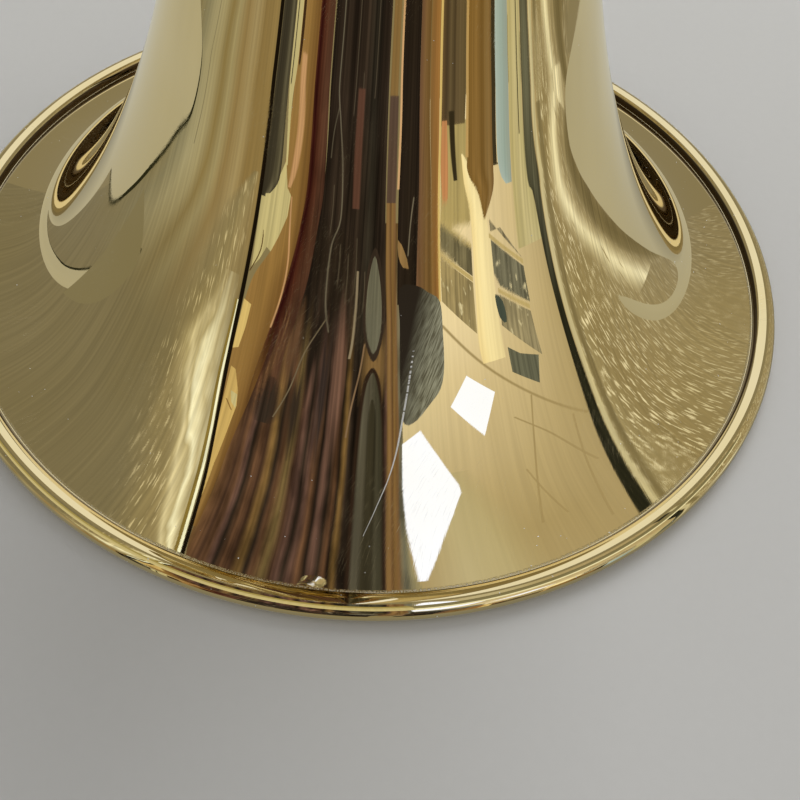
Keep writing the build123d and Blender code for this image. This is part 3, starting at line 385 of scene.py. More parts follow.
def card_paint(name, stops, soft=0.0, waver=0.0, drift=0.12, span=None, fade=None, marks=None,
        mottle=0.0, ends=None):
    """A reflected card's colours, with fine streaks up the flare.

    stops: (share across the card, tone), or (angle, tone) where span gives the first and last angle.
    soft: the share of the width over which each edge melts away. waver: how far the stops bend sideways.
    drift: how much the streaks change the tone. mottle: how far cloudy patches darken it.
    fade: (reach, reach, tone), the tone that the card turns to from the second reach down to the first.
    marks: (tone, share, fine, long, slant, far), short bright strokes that weaken to far across the card;
    they are painted glints in the reflection.
    ends: four reaches; in ragged streaks the card comes in over the first two and goes out over the last.
    """
    material, n = new_material(name)
    share = across = n.uv("across")[0]
    angle, reach = n.uv("flare")
    if span:
        share = n.ramp(angle, span[0], span[1])
        stops = [((place - span[0]) / (span[1] - span[0]), tone) for place, tone in stops]
    if waver:
        bend = n.noise(n.combine(n.times(angle, 0.3), n.times(reach, 0.11), 0.0), 1.0, detail=2.0)
        share = n.plus(share, n.times(n.minus(bend, 0.5), waver))
    bands = n.add("ShaderNodeValToRGB")
    n.link(share, bands.inputs[0])
    ramp = bands.color_ramp
    ramp.elements[0].position, ramp.elements[0].color = stops[0][0], seen(*stops[0][1])
    ramp.elements[1].position, ramp.elements[1].color = stops[-1][0], seen(*stops[-1][1])
    for spot, tone in stops[1:-1]:
        ramp.elements.new(spot).color = seen(*tone)
    color = bands.outputs[0]
    if fade:
        color = n.mix(n.ramp(reach, fade[0], fade[1], 1.0, 0.0), color, seen(*fade[2]))
    fine = n.noise(n.combine(n.times(angle, 1.9), n.times(reach, 0.035), 5.0), 1.0, detail=4.0)
    streak = n.ramp(fine, 0.3, 0.7, 1.0 - drift * 1.6, 1.0 + drift * 1.6)
    color = n.shade(color, streak)
    if mottle:
        clouds = n.noise(n.combine(n.times(angle, 0.45), n.times(reach, 0.13), 9.0), 1.0, detail=3.0)
        color = n.shade(color, n.ramp(clouds, 0.38, 0.6, 1.0 - mottle, 1.0 + mottle * 0.3))
    # Painted glints: short bright strokes painted into the reflected card
    if marks:
        tone, amount, fine_scale, long_scale, slant, far = marks
        fast = n.plus(angle, n.times(reach, slant))
        slow = n.minus(reach, n.times(angle, slant))
        field = n.combine(n.times(fast, fine_scale), n.times(slow, long_scale), 2.0)
        strokes = n.ramp(n.noise(field, 1.0, detail=2.0), 0.70 - amount, 0.80 - amount)
        color = n.mix(n.times(strokes, n.ramp(across, 0.1, 0.6, 1.0, far)), color, seen(*tone))
    surface = n.emission(color)
    if soft or ends:
        edge = n.math("MINIMUM", across, n.minus(1.0, across))
        cover = n.ramp(edge, 0.0, soft or 0.001)
        if ends:
            ragged = n.noise(n.combine(n.times(angle, 1.3), 4.0, 0.0), 1.0, detail=2.0)
            height = n.plus(reach, n.times(n.minus(ragged, 0.5), RAGGED))
            for part in (n.ramp(height, ends[0], ends[1]), n.ramp(height, ends[2], ends[3], 1.0, 0.0)):
                cover = n.times(cover, part)
        surface = n.blend(cover, n.add("ShaderNodeBsdfTransparent").outputs[0], surface)
    n.surface(surface)
    return material


def table_top():
    """A pale satin table top, which turns into the plain background far from the object."""
    material, n = new_material("table_top")
    coordinates, x, y = n.place()[:3]
    grain = n.noise(coordinates, 700.0, detail=4.0)
    cloud = n.noise(coordinates, 9.0, detail=2.0)
    pale = n.mix(cloud, TABLE_TONE, TABLE_PALE)
    shader = n.principled(n.mix(n.times(grain, 0.25), pale, TABLE_GRAIN), 0.6)
    far = n.ramp(n.from_axis(x, y), 0.35, 1.3)
    n.surface(n.blend(far, shader.outputs[0], n.emission(BACKGROUND)))
    return material


def reflected_table_top():
    """The table as the brass shows it: a glowing stand-in for the lit table, with painted light brighter
    towards the back and painted shade of the bell close round the rim.
    """
    material, n = new_material("reflected_table_top")
    coordinates, x, y = n.place()[:3]
    radius = n.from_axis(x, y)
    cloud = n.noise(coordinates, 14.0, detail=2.0)
    color = n.mix(n.ramp(cloud, 0.3, 0.7), (0.48, 0.465, 0.385, 1), (0.53, 0.515, 0.43, 1))
    # Painted light: the table brightens towards the back
    color = n.mix(n.ramp(y, 0.03, 0.25), color, (0.66, 0.65, 0.58, 1))
    # Painted shade of the bell close round the rim
    color = n.mix(n.ramp(radius, 0.061, 0.074, 0.75, 0.0), color, (0.12, 0.11, 0.08, 1))
    n.surface(n.emission(color))
    return material


# ---- Mesh helpers ----
def add_object(name, mesh, material=None):
    made = bpy.data.objects.new(name, mesh)
    bpy.context.scene.collection.objects.link(made)
    if material:
        mesh.materials.append(material)
    return made


def spin(name, profile, material, segments=384):
    """A closed surface turned about the Z axis from a closed profile of (radius, height) points."""
    mesh = bpy.data.meshes.new(name)
    count = len(profile)
    vertices, faces = [], []
    for i in range(segments):
        turn = 2 * pi * i / segments
        vertices += [(r * sin(turn), -r * cos(turn), z) for r, z in profile]
    for i in range(segments):
        here, there = i * count, (i + 1) % segments * count
        for j in range(count):
            k = (j + 1) % count
            faces.append((here + j, here + k, there + k, there + j))
    mesh.from_pydata(vertices, [], faces)
    mesh.shade_smooth()
    return add_object(name, mesh, material)


# ---- Bell ----
# In mm. The outside is BELL_SCALE * (z + BELL_SHIFT) ** -BELL_POWER, and a lip that flares at the foot.
BELL_SCALE = 1212.0
BELL_SHIFT = 36.2
BELL_POWER = 0.8673
LIP_FLARE = 21.5
LIP_FADE = 1.43
BELL_WALL = 0.6
BELL_END = 383.0
RIM_RADIUS = 61.5
ROLL_RADIUS = 1.5
SEAM_Z = 1.75
SEAM_GAP = 0.15
LIP_INSIDE = 0.8            # the lip starts this far inside the bead's centre
FOLD_STEPS = 14


def bell_radius(z):
    return BELL_SCALE * (z + BELL_SHIFT) ** -BELL_POWER + LIP_FLARE * exp(-z / LIP_FADE)


def bell_slope(z):
    step = 0.01
    return (bell_radius(z + step) - bell_radius(z - step)) / (2 * step)


def flare_point(z, depth):
    slope = bell_slope(z)
    size = (1 + slope ** 2) ** 0.5
    return (bell_radius(z) - depth / size, z + depth * slope / size)


def bell_profile(steps=150, bead_steps=28):
    """The bell's section in millimetres: down the outside, round the bead, and up the inside."""
    heights = [SEAM_Z + (BELL_END - SEAM_Z) * (i / steps) ** 2.4 for i in range(steps + 1)]
    outer = [flare_point(z, 0) for z in reversed(heights)]
    inner = [flare_point(z, BELL_WALL) for z in heights]
    inner[-1] = (outer[0][0] - BELL_WALL, BELL_END)
    centre = RIM_RADIUS - ROLL_RADIUS
    crest = 2 * ROLL_RADIUS
    edge = outer[-1][0] + SEAM_GAP
    fold = [(centre - (centre - edge) * cos(pi / 2 * t), SEAM_Z + (crest - SEAM_Z) * sin(pi / 2 * t))
        for t in (i / FOLD_STEPS for i in range(FOLD_STEPS))]
    bead = []
    for i in range(bead_steps + 1):
        turn = pi / 2 - pi * i / bead_steps
        bead.append((centre + ROLL_RADIUS * cos(turn), ROLL_RADIUS + ROLL_RADIUS * sin(turn)))
    mouth = inner[0]
    start = centre - LIP_INSIDE
    lip = [(start + (mouth[0] - start) * t, mouth[1] * t ** 1.6) for t in (0.0, 0.2, 0.4, 0.6, 0.8)]
    return outer + fold + bead + lip + inner


def make_bell():
    profile = [(r * MM, z * MM) for r, z in bell_profile()]
    bell = spin("bell_polished", profile, bell_brass())
    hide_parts("bell")
    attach(bell, "root")


# ---- Valve springs ----
SPRING_WIRE = 0.4           # radius of the wire in mm
SPRING_TURNS = 7


def spring_mesh(name, centre, radius, foot, head, steps=24, sides=8):
    """A round wire wound about a line along Y from foot to head, in metres."""
    wire = SPRING_WIRE * MM
    rings = steps * SPRING_TURNS + 1
    vertices, faces = [], []
    for i in range(rings):
        turn = 2 * pi * i / steps
        outward = Vector((cos(turn), 0, sin(turn)))
        middle = Vector((centre.x, foot + (head - foot) * i / (rings - 1), centre.z)) + outward * radius
        for k in range(sides):
            round_turn = 2 * pi * k / sides
            vertices.append(middle + wire * (outward * cos(round_turn) + Vector((0, sin(round_turn), 0))))
    for i in range(rings - 1):
        for k in range(sides):
            m = (k + 1) % sides
            faces.append((i * sides + k, i * sides + m, (i + 1) * sides + m, (i + 1) * sides + k))
    faces += [tuple(reversed(range(sides))), tuple(range((rings - 1) * sides, rings * sides))]
    mesh = bpy.data.meshes.new(name)
    mesh.from_pydata(vertices, [], faces)
    mesh.shade_smooth()
    return mesh


def make_springs():
    """The return springs, wound as round wire within the CAD springs' boxes."""
    steel = metal("spring_steel", (0.66, 0.65, 0.62, 1), (0.56, 0.54, 0.50, 1), 0.16)
    for valve in (1, 2, 3):
        low, high = (Vector(corner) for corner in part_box(f"valve_spring_{valve}"))
        centre, wire = (low + high) / 2, SPRING_WIRE * MM
        radius = (high.z - low.z) / 2 - wire
        mesh = spring_mesh(f"spring_coil_{valve}", centre, radius, high.y - wire, low.y + wire)
        coil = add_object(f"spring_coil_{valve}", mesh, steel)
        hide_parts(f"valve_spring_{valve}")
        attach(coil, "root")
        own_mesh(coil)


# ---- Studio ----
# What the brass reflects stands on a far dome. Each card is laid out on the flare, where the camera sees
# it: by the angle about the bell's axis in degrees (0 faces the camera, + is +X) and the reach up the brass
# from the seam in mm. The camera's ray is mirrored there, and the corner stands where that ray meets the
# dome.
DOME = 8.0
LAYER_STEP = 0.003          # share of the dome's distance by which a higher layer stands nearer
TOP = 80.0                  # cards that run up out of sight end here
FOLD_REACH = 60.0           # above this reach the mirrored rays turn back upward
LEAN, LEAN_MORE = 0.1, 0.03     # degrees for each mm beyond the fold, and for each square mm
CARD_GRAIN = 0.7            # a card's mesh size on the flare, in mm and degrees

BLACK = (40, 33, 26)
SOOT = (56, 46, 36)
WINE = (52, 22, 20)
UMBER = (72, 52, 38)
MAROON = (76, 44, 31)
ROSE = (100, 74, 60)
OLIVE_BROWN = (104, 86, 52)
BROWN = (98, 70, 48)
RUST = (106, 76, 50)
BRONZE = (124, 95, 54)
OCHRE = (142, 108, 58)
ORANGE = (154, 110, 58)
SALMON = (190, 144, 96)
CORAL = (186, 128, 80)
AMBER = (212, 180, 106)
CREAM = (190, 174, 116)
DARK_OLIVE = (60, 54, 40)
OLIVE = (130, 116, 77)
STRAW = (168, 152, 104)
GREY = (104, 100, 80)


def walk_flare(step=0.02, top=200.0):
    """How far up the brass from the seam each height lies: two matching lists, in mm."""
    heights, reaches = [SEAM_Z], [0.0]
    while heights[-1] < top:
        z = heights[-1]
        heights.append(z + step)
        reaches.append(reaches[-1] + hypot(step, bell_radius(z + step) - bell_radius(z)))
    return heights, reaches


HEIGHTS, REACHES = walk_flare()


def mirror_point(angle, reach, distance):
    """The dome's point that the camera sees in the flare at this angle and reach.

    Above FOLD_REACH cards go on downward instead, ever steeper.
    """
    beyond = max(0.0, reach - FOLD_REACH)
    reach = min(reach, FOLD_REACH)
    i = bisect(REACHES, reach) - 1
    share = (reach - REACHES[i]) / (REACHES[i + 1] - REACHES[i])
    z = HEIGHTS[i] + (HEIGHTS[i + 1] - HEIGHTS[i]) * share
    turn = radians(angle)
    radius = bell_radius(z)
    place = Vector((sin(turn) * radius, -cos(turn) * radius, z)) * MM
    normal = Vector((sin(turn), -cos(turn), -bell_slope(z))).normalized()
    ray = (place - CAMERA_PLACE).normalized().reflect(normal)
    lean = radians(LEAN * beyond + LEAN_MORE * beyond ** 2)
    ray = Quaternion(ray.cross(Vector((0, 0, -1))).normalized(), lean) @ ray
    return place + ray * distance


def curve_through(points, closed=False, grain=CARD_GRAIN):
    """Points along a smooth line through the given ones (Catmull-Rom), about a grain apart."""
    count = len(points)
    line = []
    for i in range(count if closed else count - 1):
        if closed:
            before, start, end, after = (points[(i + k) % count] for k in (-1, 0, 1, 2))
        else:
            before, start, end, after = (points[max(0, min(count - 1, i + k))] for k in (-1, 0, 1, 2))
        steps = max(1, int(hypot(*(q - p for p, q in zip(start, end))) / grain))
        for s in range(steps):
            t = s / steps
            line.append(tuple(0.5 * (2 * q + (r - p) * t + (2 * p - 5 * q + 4 * r - o) * t * t
                + (3 * q - p - 3 * r + o) * t ** 3) for p, q, r, o in zip(before, start, end, after)))
    return line if closed else [*line, tuple(points[-1])]


def straight_through(points, grain=CARD_GRAIN):
    """Points along the closed straight-sided outline, about a grain apart."""
    line = []
    for start, end in zip(points, points[1:] + points[:1]):
        steps = max(1, int(hypot(end[0] - start[0], end[1] - start[1]) / grain))
        line += [tuple(p + (q - p) * s / steps for p, q in zip(start, end)) for s in range(steps)]
    return line


def add_maps(mesh, across, places):
    """Gives a card its two UV maps: the share across it, and the place on the flare."""
    for name, values in (("across", across), ("flare", places)):
        uv = mesh.uv_layers.new(name=name)
        for loop in mesh.loops:
            uv.data[loop.index].uv = values[loop.vertex_index]


def only_reflected(card):
    card.visible_camera = False
    card.visible_diffuse = False
    card.visible_shadow = False
    card.visible_transmission = False


def card_mesh(name, places, across, faces, layer, material):
    """Hangs a card whose points are (angle, reach) places, with both of its UV maps."""
    distance = DOME * (1 - LAYER_STEP * layer)
    mesh = bpy.data.meshes.new(name)
    mesh.from_pydata([mirror_point(*place, distance) for place in places], [], faces)
    add_maps(mesh, across, places)
    only_reflected(add_object(name, mesh, material))


def plain_card(name, corners, material):
    """A flat card through corners in metres, seen only in the brass."""
    mesh = bpy.data.meshes.new(name)
    mesh.from_pydata(corners, [], [tuple(range(len(corners)))])
    only_reflected(add_object(name, mesh, material))


def ribbon(name, rows, tones, layer, **paint):
    """A card between two edges; rows are (reach, left angle, right angle) from the top down.

    tones is one tone, or stops as card_paint takes them.
    """
    stops = tones if isinstance(tones, list) else [(0.0, tones), (1.0, tones)]
    rows = curve_through(rows)
    columns = max(4, int(max(right - left for _, left, right in rows) / CARD_GRAIN))
    places = [(left + (right - left) * i / columns, max(0.0, reach)) for reach, left, right in rows
        for i in range(columns + 1)]
    across = [(i / columns, j / len(rows)) for j in range(len(rows)) for i in range(columns + 1)]
    faces = []
    for j in range(len(rows) - 1):
        for i in range(columns):
            k = j * (columns + 1) + i
            faces.append((k, k + 1, k + columns + 2, k + columns + 1))
    card_mesh(name, places, across, faces, layer, card_paint(name, stops, **paint))


def thread(name, points, width, tone, layer, **paint):
    """A thin line through (reach, angle) points, this many degrees wide."""
    ribbon(name, [(reach, angle - width / 2, angle + width / 2) for reach, angle in points], tone, layer,
        **paint)


def patch(name, outline, tone, layer, curved=False, **paint):
    """A closed card with straight or curved sides. outline is (angle, reach), tone a colour or material."""
    places = curve_through(outline, closed=True) if curved else straight_through(outline)
    faces = tessellate_polygon([[Vector((angle, reach, 0)) for angle, reach in places]])
    low, high = min(a for a, _ in places), max(a for a, _ in places)
    across = [((angle - low) / (high - low), 0.0) for angle, _ in places]
    if not isinstance(tone, bpy.types.Material):
        tone = card_paint(name, [(0.0, tone), (1.0, tone)], **paint)
    card_mesh(name, places, across, faces, layer, tone)


# The straight black line at the left, and the softer one at the right: (reach, left angle, right angle)
LINE_LEFT = [(TOP, -26.2, -24.9), (50, -25.6, -24.5), (30, -25.5, -24.5), (20, -24.5, -23.8),
    (10, -22.9, -22.3), (0, -21.0, -20.4)]
LINE_RIGHT = [(TOP, 36, 39.6), (57, 36.5, 39.4), (48, 37, 40.7), (45, 38.6, 40.8), (30, 40.7, 42.3),
    (20, 41.2, 43.1), (10, 40.6, 43), (0, 39, 41.6)]


def make_left_wall():
    """The olive wall left of the black line: soft upright bands above, and a wavy glow beside the line."""
    ribbon("left_wall", [(TOP, -62, -25), (60, -56, -25), (45, -58, -25), (35, -68, -25), (22, -82, -24),
        (10, -95, -22.5), (0, -100, -20.7)], [(0, OLIVE), (0.12, OLIVE), (0.22, (134, 124, 88)),
        (0.34, (160, 147, 104)), (0.44, (158, 143, 98)), (0.52, (132, 112, 66)), (0.60, (156, 140, 94)),
        (0.68, (140, 116, 70)), (0.78, (158, 137, 90)), (0.86, (134, 110, 64)), (1, (142, 118, 70))], 0,
        waver=0.03, drift=0.08, fade=(24, 46, (121, 108, 74)))
    ribbon("left_sheen", [(49, -27.4, -25.8), (44, -33, -25.5), (38, -36, -25.5), (30, -39, -25.5),
        (22, -40, -24.5), (12, -38, -23), (0, -32, -21)], [(0, (124, 110, 74)), (0.5, (140, 123, 80)),
        (1, (156, 136, 90))], 1, soft=0.35, waver=0.3, drift=0.12, marks=((206, 186, 132), 0.12, 3.4, 0.30,
        0.05, 1.0))
    ribbon("left_glow", [(36, -30.5, -26.2), (30, -34, -25.8), (25, -36.5, -25.4), (19, -34, -24.6),
        (12, -30.5, -23.4), (5, -27.5, -22.4), (0, -24.8, -21.1)], [(0, (150, 133, 90)),
        (0.2, (172, 154, 104)), (0.36, (214, 196, 142)), (0.5, (184, 166, 114)), (0.62, (246, 234, 182)),
        (0.78, (202, 184, 130)), (0.9, (240, 226, 172)), (1, (222, 204, 148))], 2, soft=0.3, waver=0.6,
        drift=0.12, ends=(-2, -1, 24, 38))
    thread("left_gold_line", [(33, -25.9), (24, -25.8), (16, -24.7), (8, -23.4), (0, -21.6)], 0.5,
        (132, 110, 52), 3)
    thread("left_white_line", [(33, -25.5), (24, -25.3), (16, -24.2), (8, -22.9), (0, -21.2)], 0.42,
        (244, 238, 192), 4)
    thread("table_band_line", [(TOP, -47), (58, -44.5), (48, -45)], 0.35, (118, 108, 76), 1, soft=0.4)
    ribbon("line_left", LINE_LEFT, (30, 24, 16), 9, soft=0.12)


def make_left_strips():
    """The cream, salmon and gold strips between the black line and the dark curtain."""
    ribbon("olive_band", [(TOP, -24.9, -21.9), (58, -24.6, -21.2), (51, -24.6, -20.8), (48.5, -25, -21.2),
        (46.5, -25, -23.4)], [(0, DARK_OLIVE), (0.5, DARK_OLIVE), (0.8, (96, 88, 64)), (1, DARK_OLIVE)], 6,
        drift=0.2)
    ribbon("cream_strip", [(TOP, -22.1, -20), (64, -21.4, -19.5), (58, -20.8, -20.0), (51, -19.8, -19.4)],
        CREAM, 6)
    thread("cream_strip_line", [(TOP, -21.3), (66, -20.8), (60, -20.7)], 0.22, DARK_OLIVE, 7)
    ribbon("brown_strip", [(TOP, -20, -18.3), (66, -19.7, -18.3), (61.5, -19.4, -19)], (64, 46, 28), 6)
    ribbon("tan_shelf", [(TOP, -19.4, -15.4), (62, -19.8, -14.8), (50, -20, -14.3), (42, -19.8, -15),
        (36, -23.6, -16), (28, -24.6, -17.6), (22, -24.2, -19), (14, -22.9, -20.6), (4, -21.6, -20.8)],
        [(0, (146, 112, 62)), (0.45, OCHRE), (0.75, (122, 90, 48)), (1, (112, 80, 42))], 3, drift=0.10)
    ribbon("salmon_strip", [(62, -18.8, -17.2), (56, -18.2, -16.3), (51, -18.5, -16.8), (48.5, -18.8, -18)],
        SALMON, 6, soft=0.25)
    patch("cream_shelf", [(-24.6, 46.8), (-23.2, 47.2), (-21.2, 49), (-19.8, 51.5), (-18.8, 48.4),
        (-17.8, 47.6), (-18, 45), (-19.4, 42.2), (-20.6, 40.2), (-21.6, 40.6), (-22.8, 38.8),
        (-24.2, 37.4)], CREAM, 5)
    thread("cream_shelf_line", [(43, -22.9), (40, -22.8), (37, -24.4)], 0.25, (96, 76, 44), 6)
    thread("shelf_edge", [(47.5, -17.6), (44, -17.2), (40, -16.6), (36, -16.8), (31, -18)], 0.5, SALMON, 5,
        soft=0.4)
    patch("gold_strip_high", [(-24.4, 33.4), (-22.7, 33), (-22.9, 30), (-23.4, 27.2), (-24.6, 26.8)], AMBER,
        6)
    patch("gold_strip_low", [(-23.9, 24.6), (-22.9, 24.4), (-21.6, 22), (-21.1, 20), (-21.4, 18), (-22, 12),
        (-21.9, 6), (-21.2, 1.6), (-22.4, 8), (-23.6, 16)], (196, 162, 92), 6)
    patch("gold_corner", [(-22.8, 21.6), (-21.5, 21.4), (-21.2, 19.6), (-22.2, 20.2)], CREAM, 7)
    thread("gold_strip_line", [(20.4, -23.2), (19.2, -21.8)], 0.3, OCHRE, 7)


def make_dark_curtain():
    """The dark middle: soft brown stripes low on the flare, near-black with a few upright bars above."""
    stripes = [(-21.5, BRONZE), (-20.2, RUST), (-19, UMBER), (-18.2, BROWN), (-17.4, ROSE), (-16.8, SOOT),
        (-15.8, BROWN), (-14.8, UMBER), (-13.8, BRONZE), (-12.9, SOOT), (-12, BROWN), (-10.8, OLIVE_BROWN),
        (-9.8, UMBER), (-9, ROSE), (-8.2, SOOT), (-7.4, ROSE), (-6.6, BROWN), (-5.8, BLACK), (-5, ROSE),
        (-4.2, SOOT), (-3.4, BROWN), (-2.8, BLACK), (-2.2, BRONZE), (-1.6, SOOT), (-0.8, BLACK),
        (4.0, BLACK), (4.6, ROSE), (5.6, BRONZE), (6.8, GREY), (8.4, STRAW)]
    ribbon("stripes", [(46, -15, 6), (38, -16.4, 7), (30, -19, 7), (25.5, -22.7, 7.1), (20.5, -20.3, 7.3),
        (14, -21.2, 7.4), (8, -21.4, 7.4), (3, -21, 7.8), (0, -20.2, 8.8)], stripes, 2, span=(-22, 9),
        waver=0.03, drift=0.2, mottle=0.45)
    ribbon("maroon_bar", [(TOP, -16.4, -12.4), (62, -15, -11.4), (50, -14.4, -10.6), (44, -15, -11.2),
        (38, -16.2, -12), (32, -17.8, -13.5), (26, -19.2, -15), (18, -20.2, -16.4)],
        [(0, MAROON), (0.16, WINE), (0.34, MAROON), (0.7, (86, 58, 42)), (1, (80, 54, 40))], 4, drift=0.2,
        waver=0.1, mottle=0.3, ends=(20, 32, 90, 91))
    ribbon("black_bar", [(TOP, -12.6, 2), (55, -10.7, 2.8), (46, -11.1, 3.2), (38, -12.2, 3.8),
        (32, -13.4, 4), (22, -14.6, 4)], [(0, BLACK), (0.3, SOOT), (0.36, BLACK), (0.6, SOOT),
        (0.75, (48, 43, 34)), (0.88, BLACK), (1, SOOT)], 3, drift=0.3, waver=0.06, mottle=0.2,
        ends=(26, 35, 90, 91))
    thread("pale_squiggle", [(TOP, -8), (66, -8.7), (61, -9), (57, -8), (52, -6.8), (46, -6.4),
        (42.5, -7.9), (36, -8), (32, -6.8)], 0.42, (104, 95, 76), 5, soft=0.4)
    thread("pale_fork", [(59, -8.5), (56, -9.4), (53, -9.6)], 0.35, (84, 76, 60), 5, soft=0.4)
    faint = ((70, 66, -2.4), (68, 58, -5.2), (62, 56, -3.4), (50, 44, -8.4), (43, 38, -6),
        (42, 36, -4.2), (44, 37, -2.6), (40, 35, -0.6), (66, 60, -0.6))
    for i, (high, low, angle) in enumerate(faint):
        thread(f"faint_line_{i}", [(high, angle), ((high + low) / 2, angle + 0.15), (low, angle)], 0.3,
            (84, 74, 58), 5, soft=0.5)
    ribbon("rust_block", [(61, -4.6, -2.7), (54, -4.6, -2.6), (47.5, -4.2, -2.4)], (90, 62, 48), 5,
        soft=0.2)


def make_knots():
    """The tangle where the stripes cross, half-way up the flare, and the two long ovals beside it."""
    ribbon("blotch", [(25, -16.6, -15.2), (23, -18.8, -13), (21, -19.8, -12.2), (19, -17.8, -14.6)], SOOT,
        4, soft=0.4, drift=0.3)
    ribbon("knot_high", [(36, -8.8, -7), (30, -10.6, -7.4), (27, -11, -8), (22, -11, -9)], BLACK, 4,
        soft=0.35, ends=(22, 28, 33, 37))
    ribbon("knot_low", [(27, -11.6, -10.4), (22, -12.6, -9.8), (19, -12.4, -9.6), (15, -11.6, -10.2)], SOOT,
        4, soft=0.35, ends=(15, 21, 24, 27))
    ribbon("warm_tongue", [(36, -15.6, -13.8), (29, -16.8, -14.6), (24, -18.4, -16.6), (20, -18.8, -17.4)],
        (108, 80, 52), 4, soft=0.3, drift=0.25, ends=(20, 26, 32, 36))
    ribbon("warm_tongue_2", [(36, -13.4, -11.2), (28, -14.8, -12.2), (22, -15.4, -13.2)], (96, 70, 48), 4,
        soft=0.3, drift=0.25, ends=(22, 28, 31, 36))
    ribbon("rose_column", [(38, -5.4, -3.8), (28, -5.4, -2.8), (22, -5.6, -3), (14, -5.4, -3.6)],
        (108, 80, 64), 4, soft=0.3, drift=0.25, ends=(14, 24, 30, 38))
    ribbon("dark_column", [(34, -7.6, -5.6), (24, -7.8, -5.8), (14, -8, -6.2)], (56, 46, 40), 4, soft=0.3,
        drift=0.3, ends=(14, 22, 28, 34))
    thread("light_cross", [(33.5, -7.6), (29, -10.8), (24, -12.6), (20, -14.6)], 0.35, (112, 98, 74), 5,
        soft=0.4)
    thread("pale_thread", [(40, -2), (36, -1.9), (31.5, -2.1), (29, -2.5)], 0.6, (142, 126, 98), 5,
        soft=0.3)
    thread("pale_thread_2", [(31, 0.2), (27.5, -0.4), (23, -1.5), (19, -2.1)], 0.4, (128, 102, 74), 5,
        soft=0.3)
    ribbon("column_high", [(70, 3.0, 4.8), (60.5, 2.8, 4.9)], (128, 100, 58), 5, soft=0.12)
    ribbon("column_grey", [(60.5, 2.8, 5.1), (52, 3, 5.4), (48.4, 3.1, 5.4)], (86, 68, 54), 5, soft=0.12)
    ribbon("column_low", [(48.4, 3.1, 5.4), (40, 3.6, 5.9), (33, 4.2, 6.3), (27, 4.4, 6.6), (17, 4.6, 6.8),
        (0, 4.2, 6.2)], [(0, BRONZE), (0.3, (134, 102, 62)), (0.5, (96, 70, 44)), (0.6, BRONZE),
        (1, (120, 88, 58))], 5, soft=0.12, drift=0.14)
    thread("column_line", [(66, 5.2), (58, 5.7), (50, 5.7)], 0.45, (206, 162, 112), 7)
    patch("oval_outline_high", [(1.3, 43), (-0.2, 39.6), (-0.4, 35), (0.1, 31.6), (1.9, 28.8), (3.3, 31),
        (3.7, 35), (3.0, 40)], SOOT, 6, curved=True)
    patch("oval_high", [(1.3, 42), (0.3, 39), (0.1, 35), (0.6, 31.8), (1.9, 29.8), (2.9, 31.6), (3.2, 35),
        (2.6, 39)], GREY, 7, curved=True, drift=0.16)
    ribbon("oval_ring", [(34, 0.2, 4.6), (28.6, -0.4, 4.8), (23, -0.8, 5)], (124, 96, 58), 5, soft=0.3,
        ends=(23, 27, 30, 34))
    ribbon("oval_outline_low", [(28, 1.6, 2.2), (27, 0.6, 3.1), (25, 0, 3.7), (20, -0.6, 4.3),
        (12, -0.9, 4.6), (0, -0.9, 4.4)], (50, 38, 28), 6, soft=0.08)
    ribbon("oval_low", [(27.4, 1.8, 2.1), (26, 0.9, 2.9), (22, 0.2, 3.8), (14, -0.2, 4.2), (0, -0.3, 4)],
        [(0, (94, 88, 70)), (0.3, (80, 74, 58)), (1, (66, 62, 46))], 7, soft=0.1, drift=0.2)
    ribbon("oval_core", [(24, 1.8, 2.3), (21, 1.2, 3), (12, 1, 3.2), (0, 0.7, 2.8)], (56, 51, 37), 8,
        soft=0.25, drift=0.2)


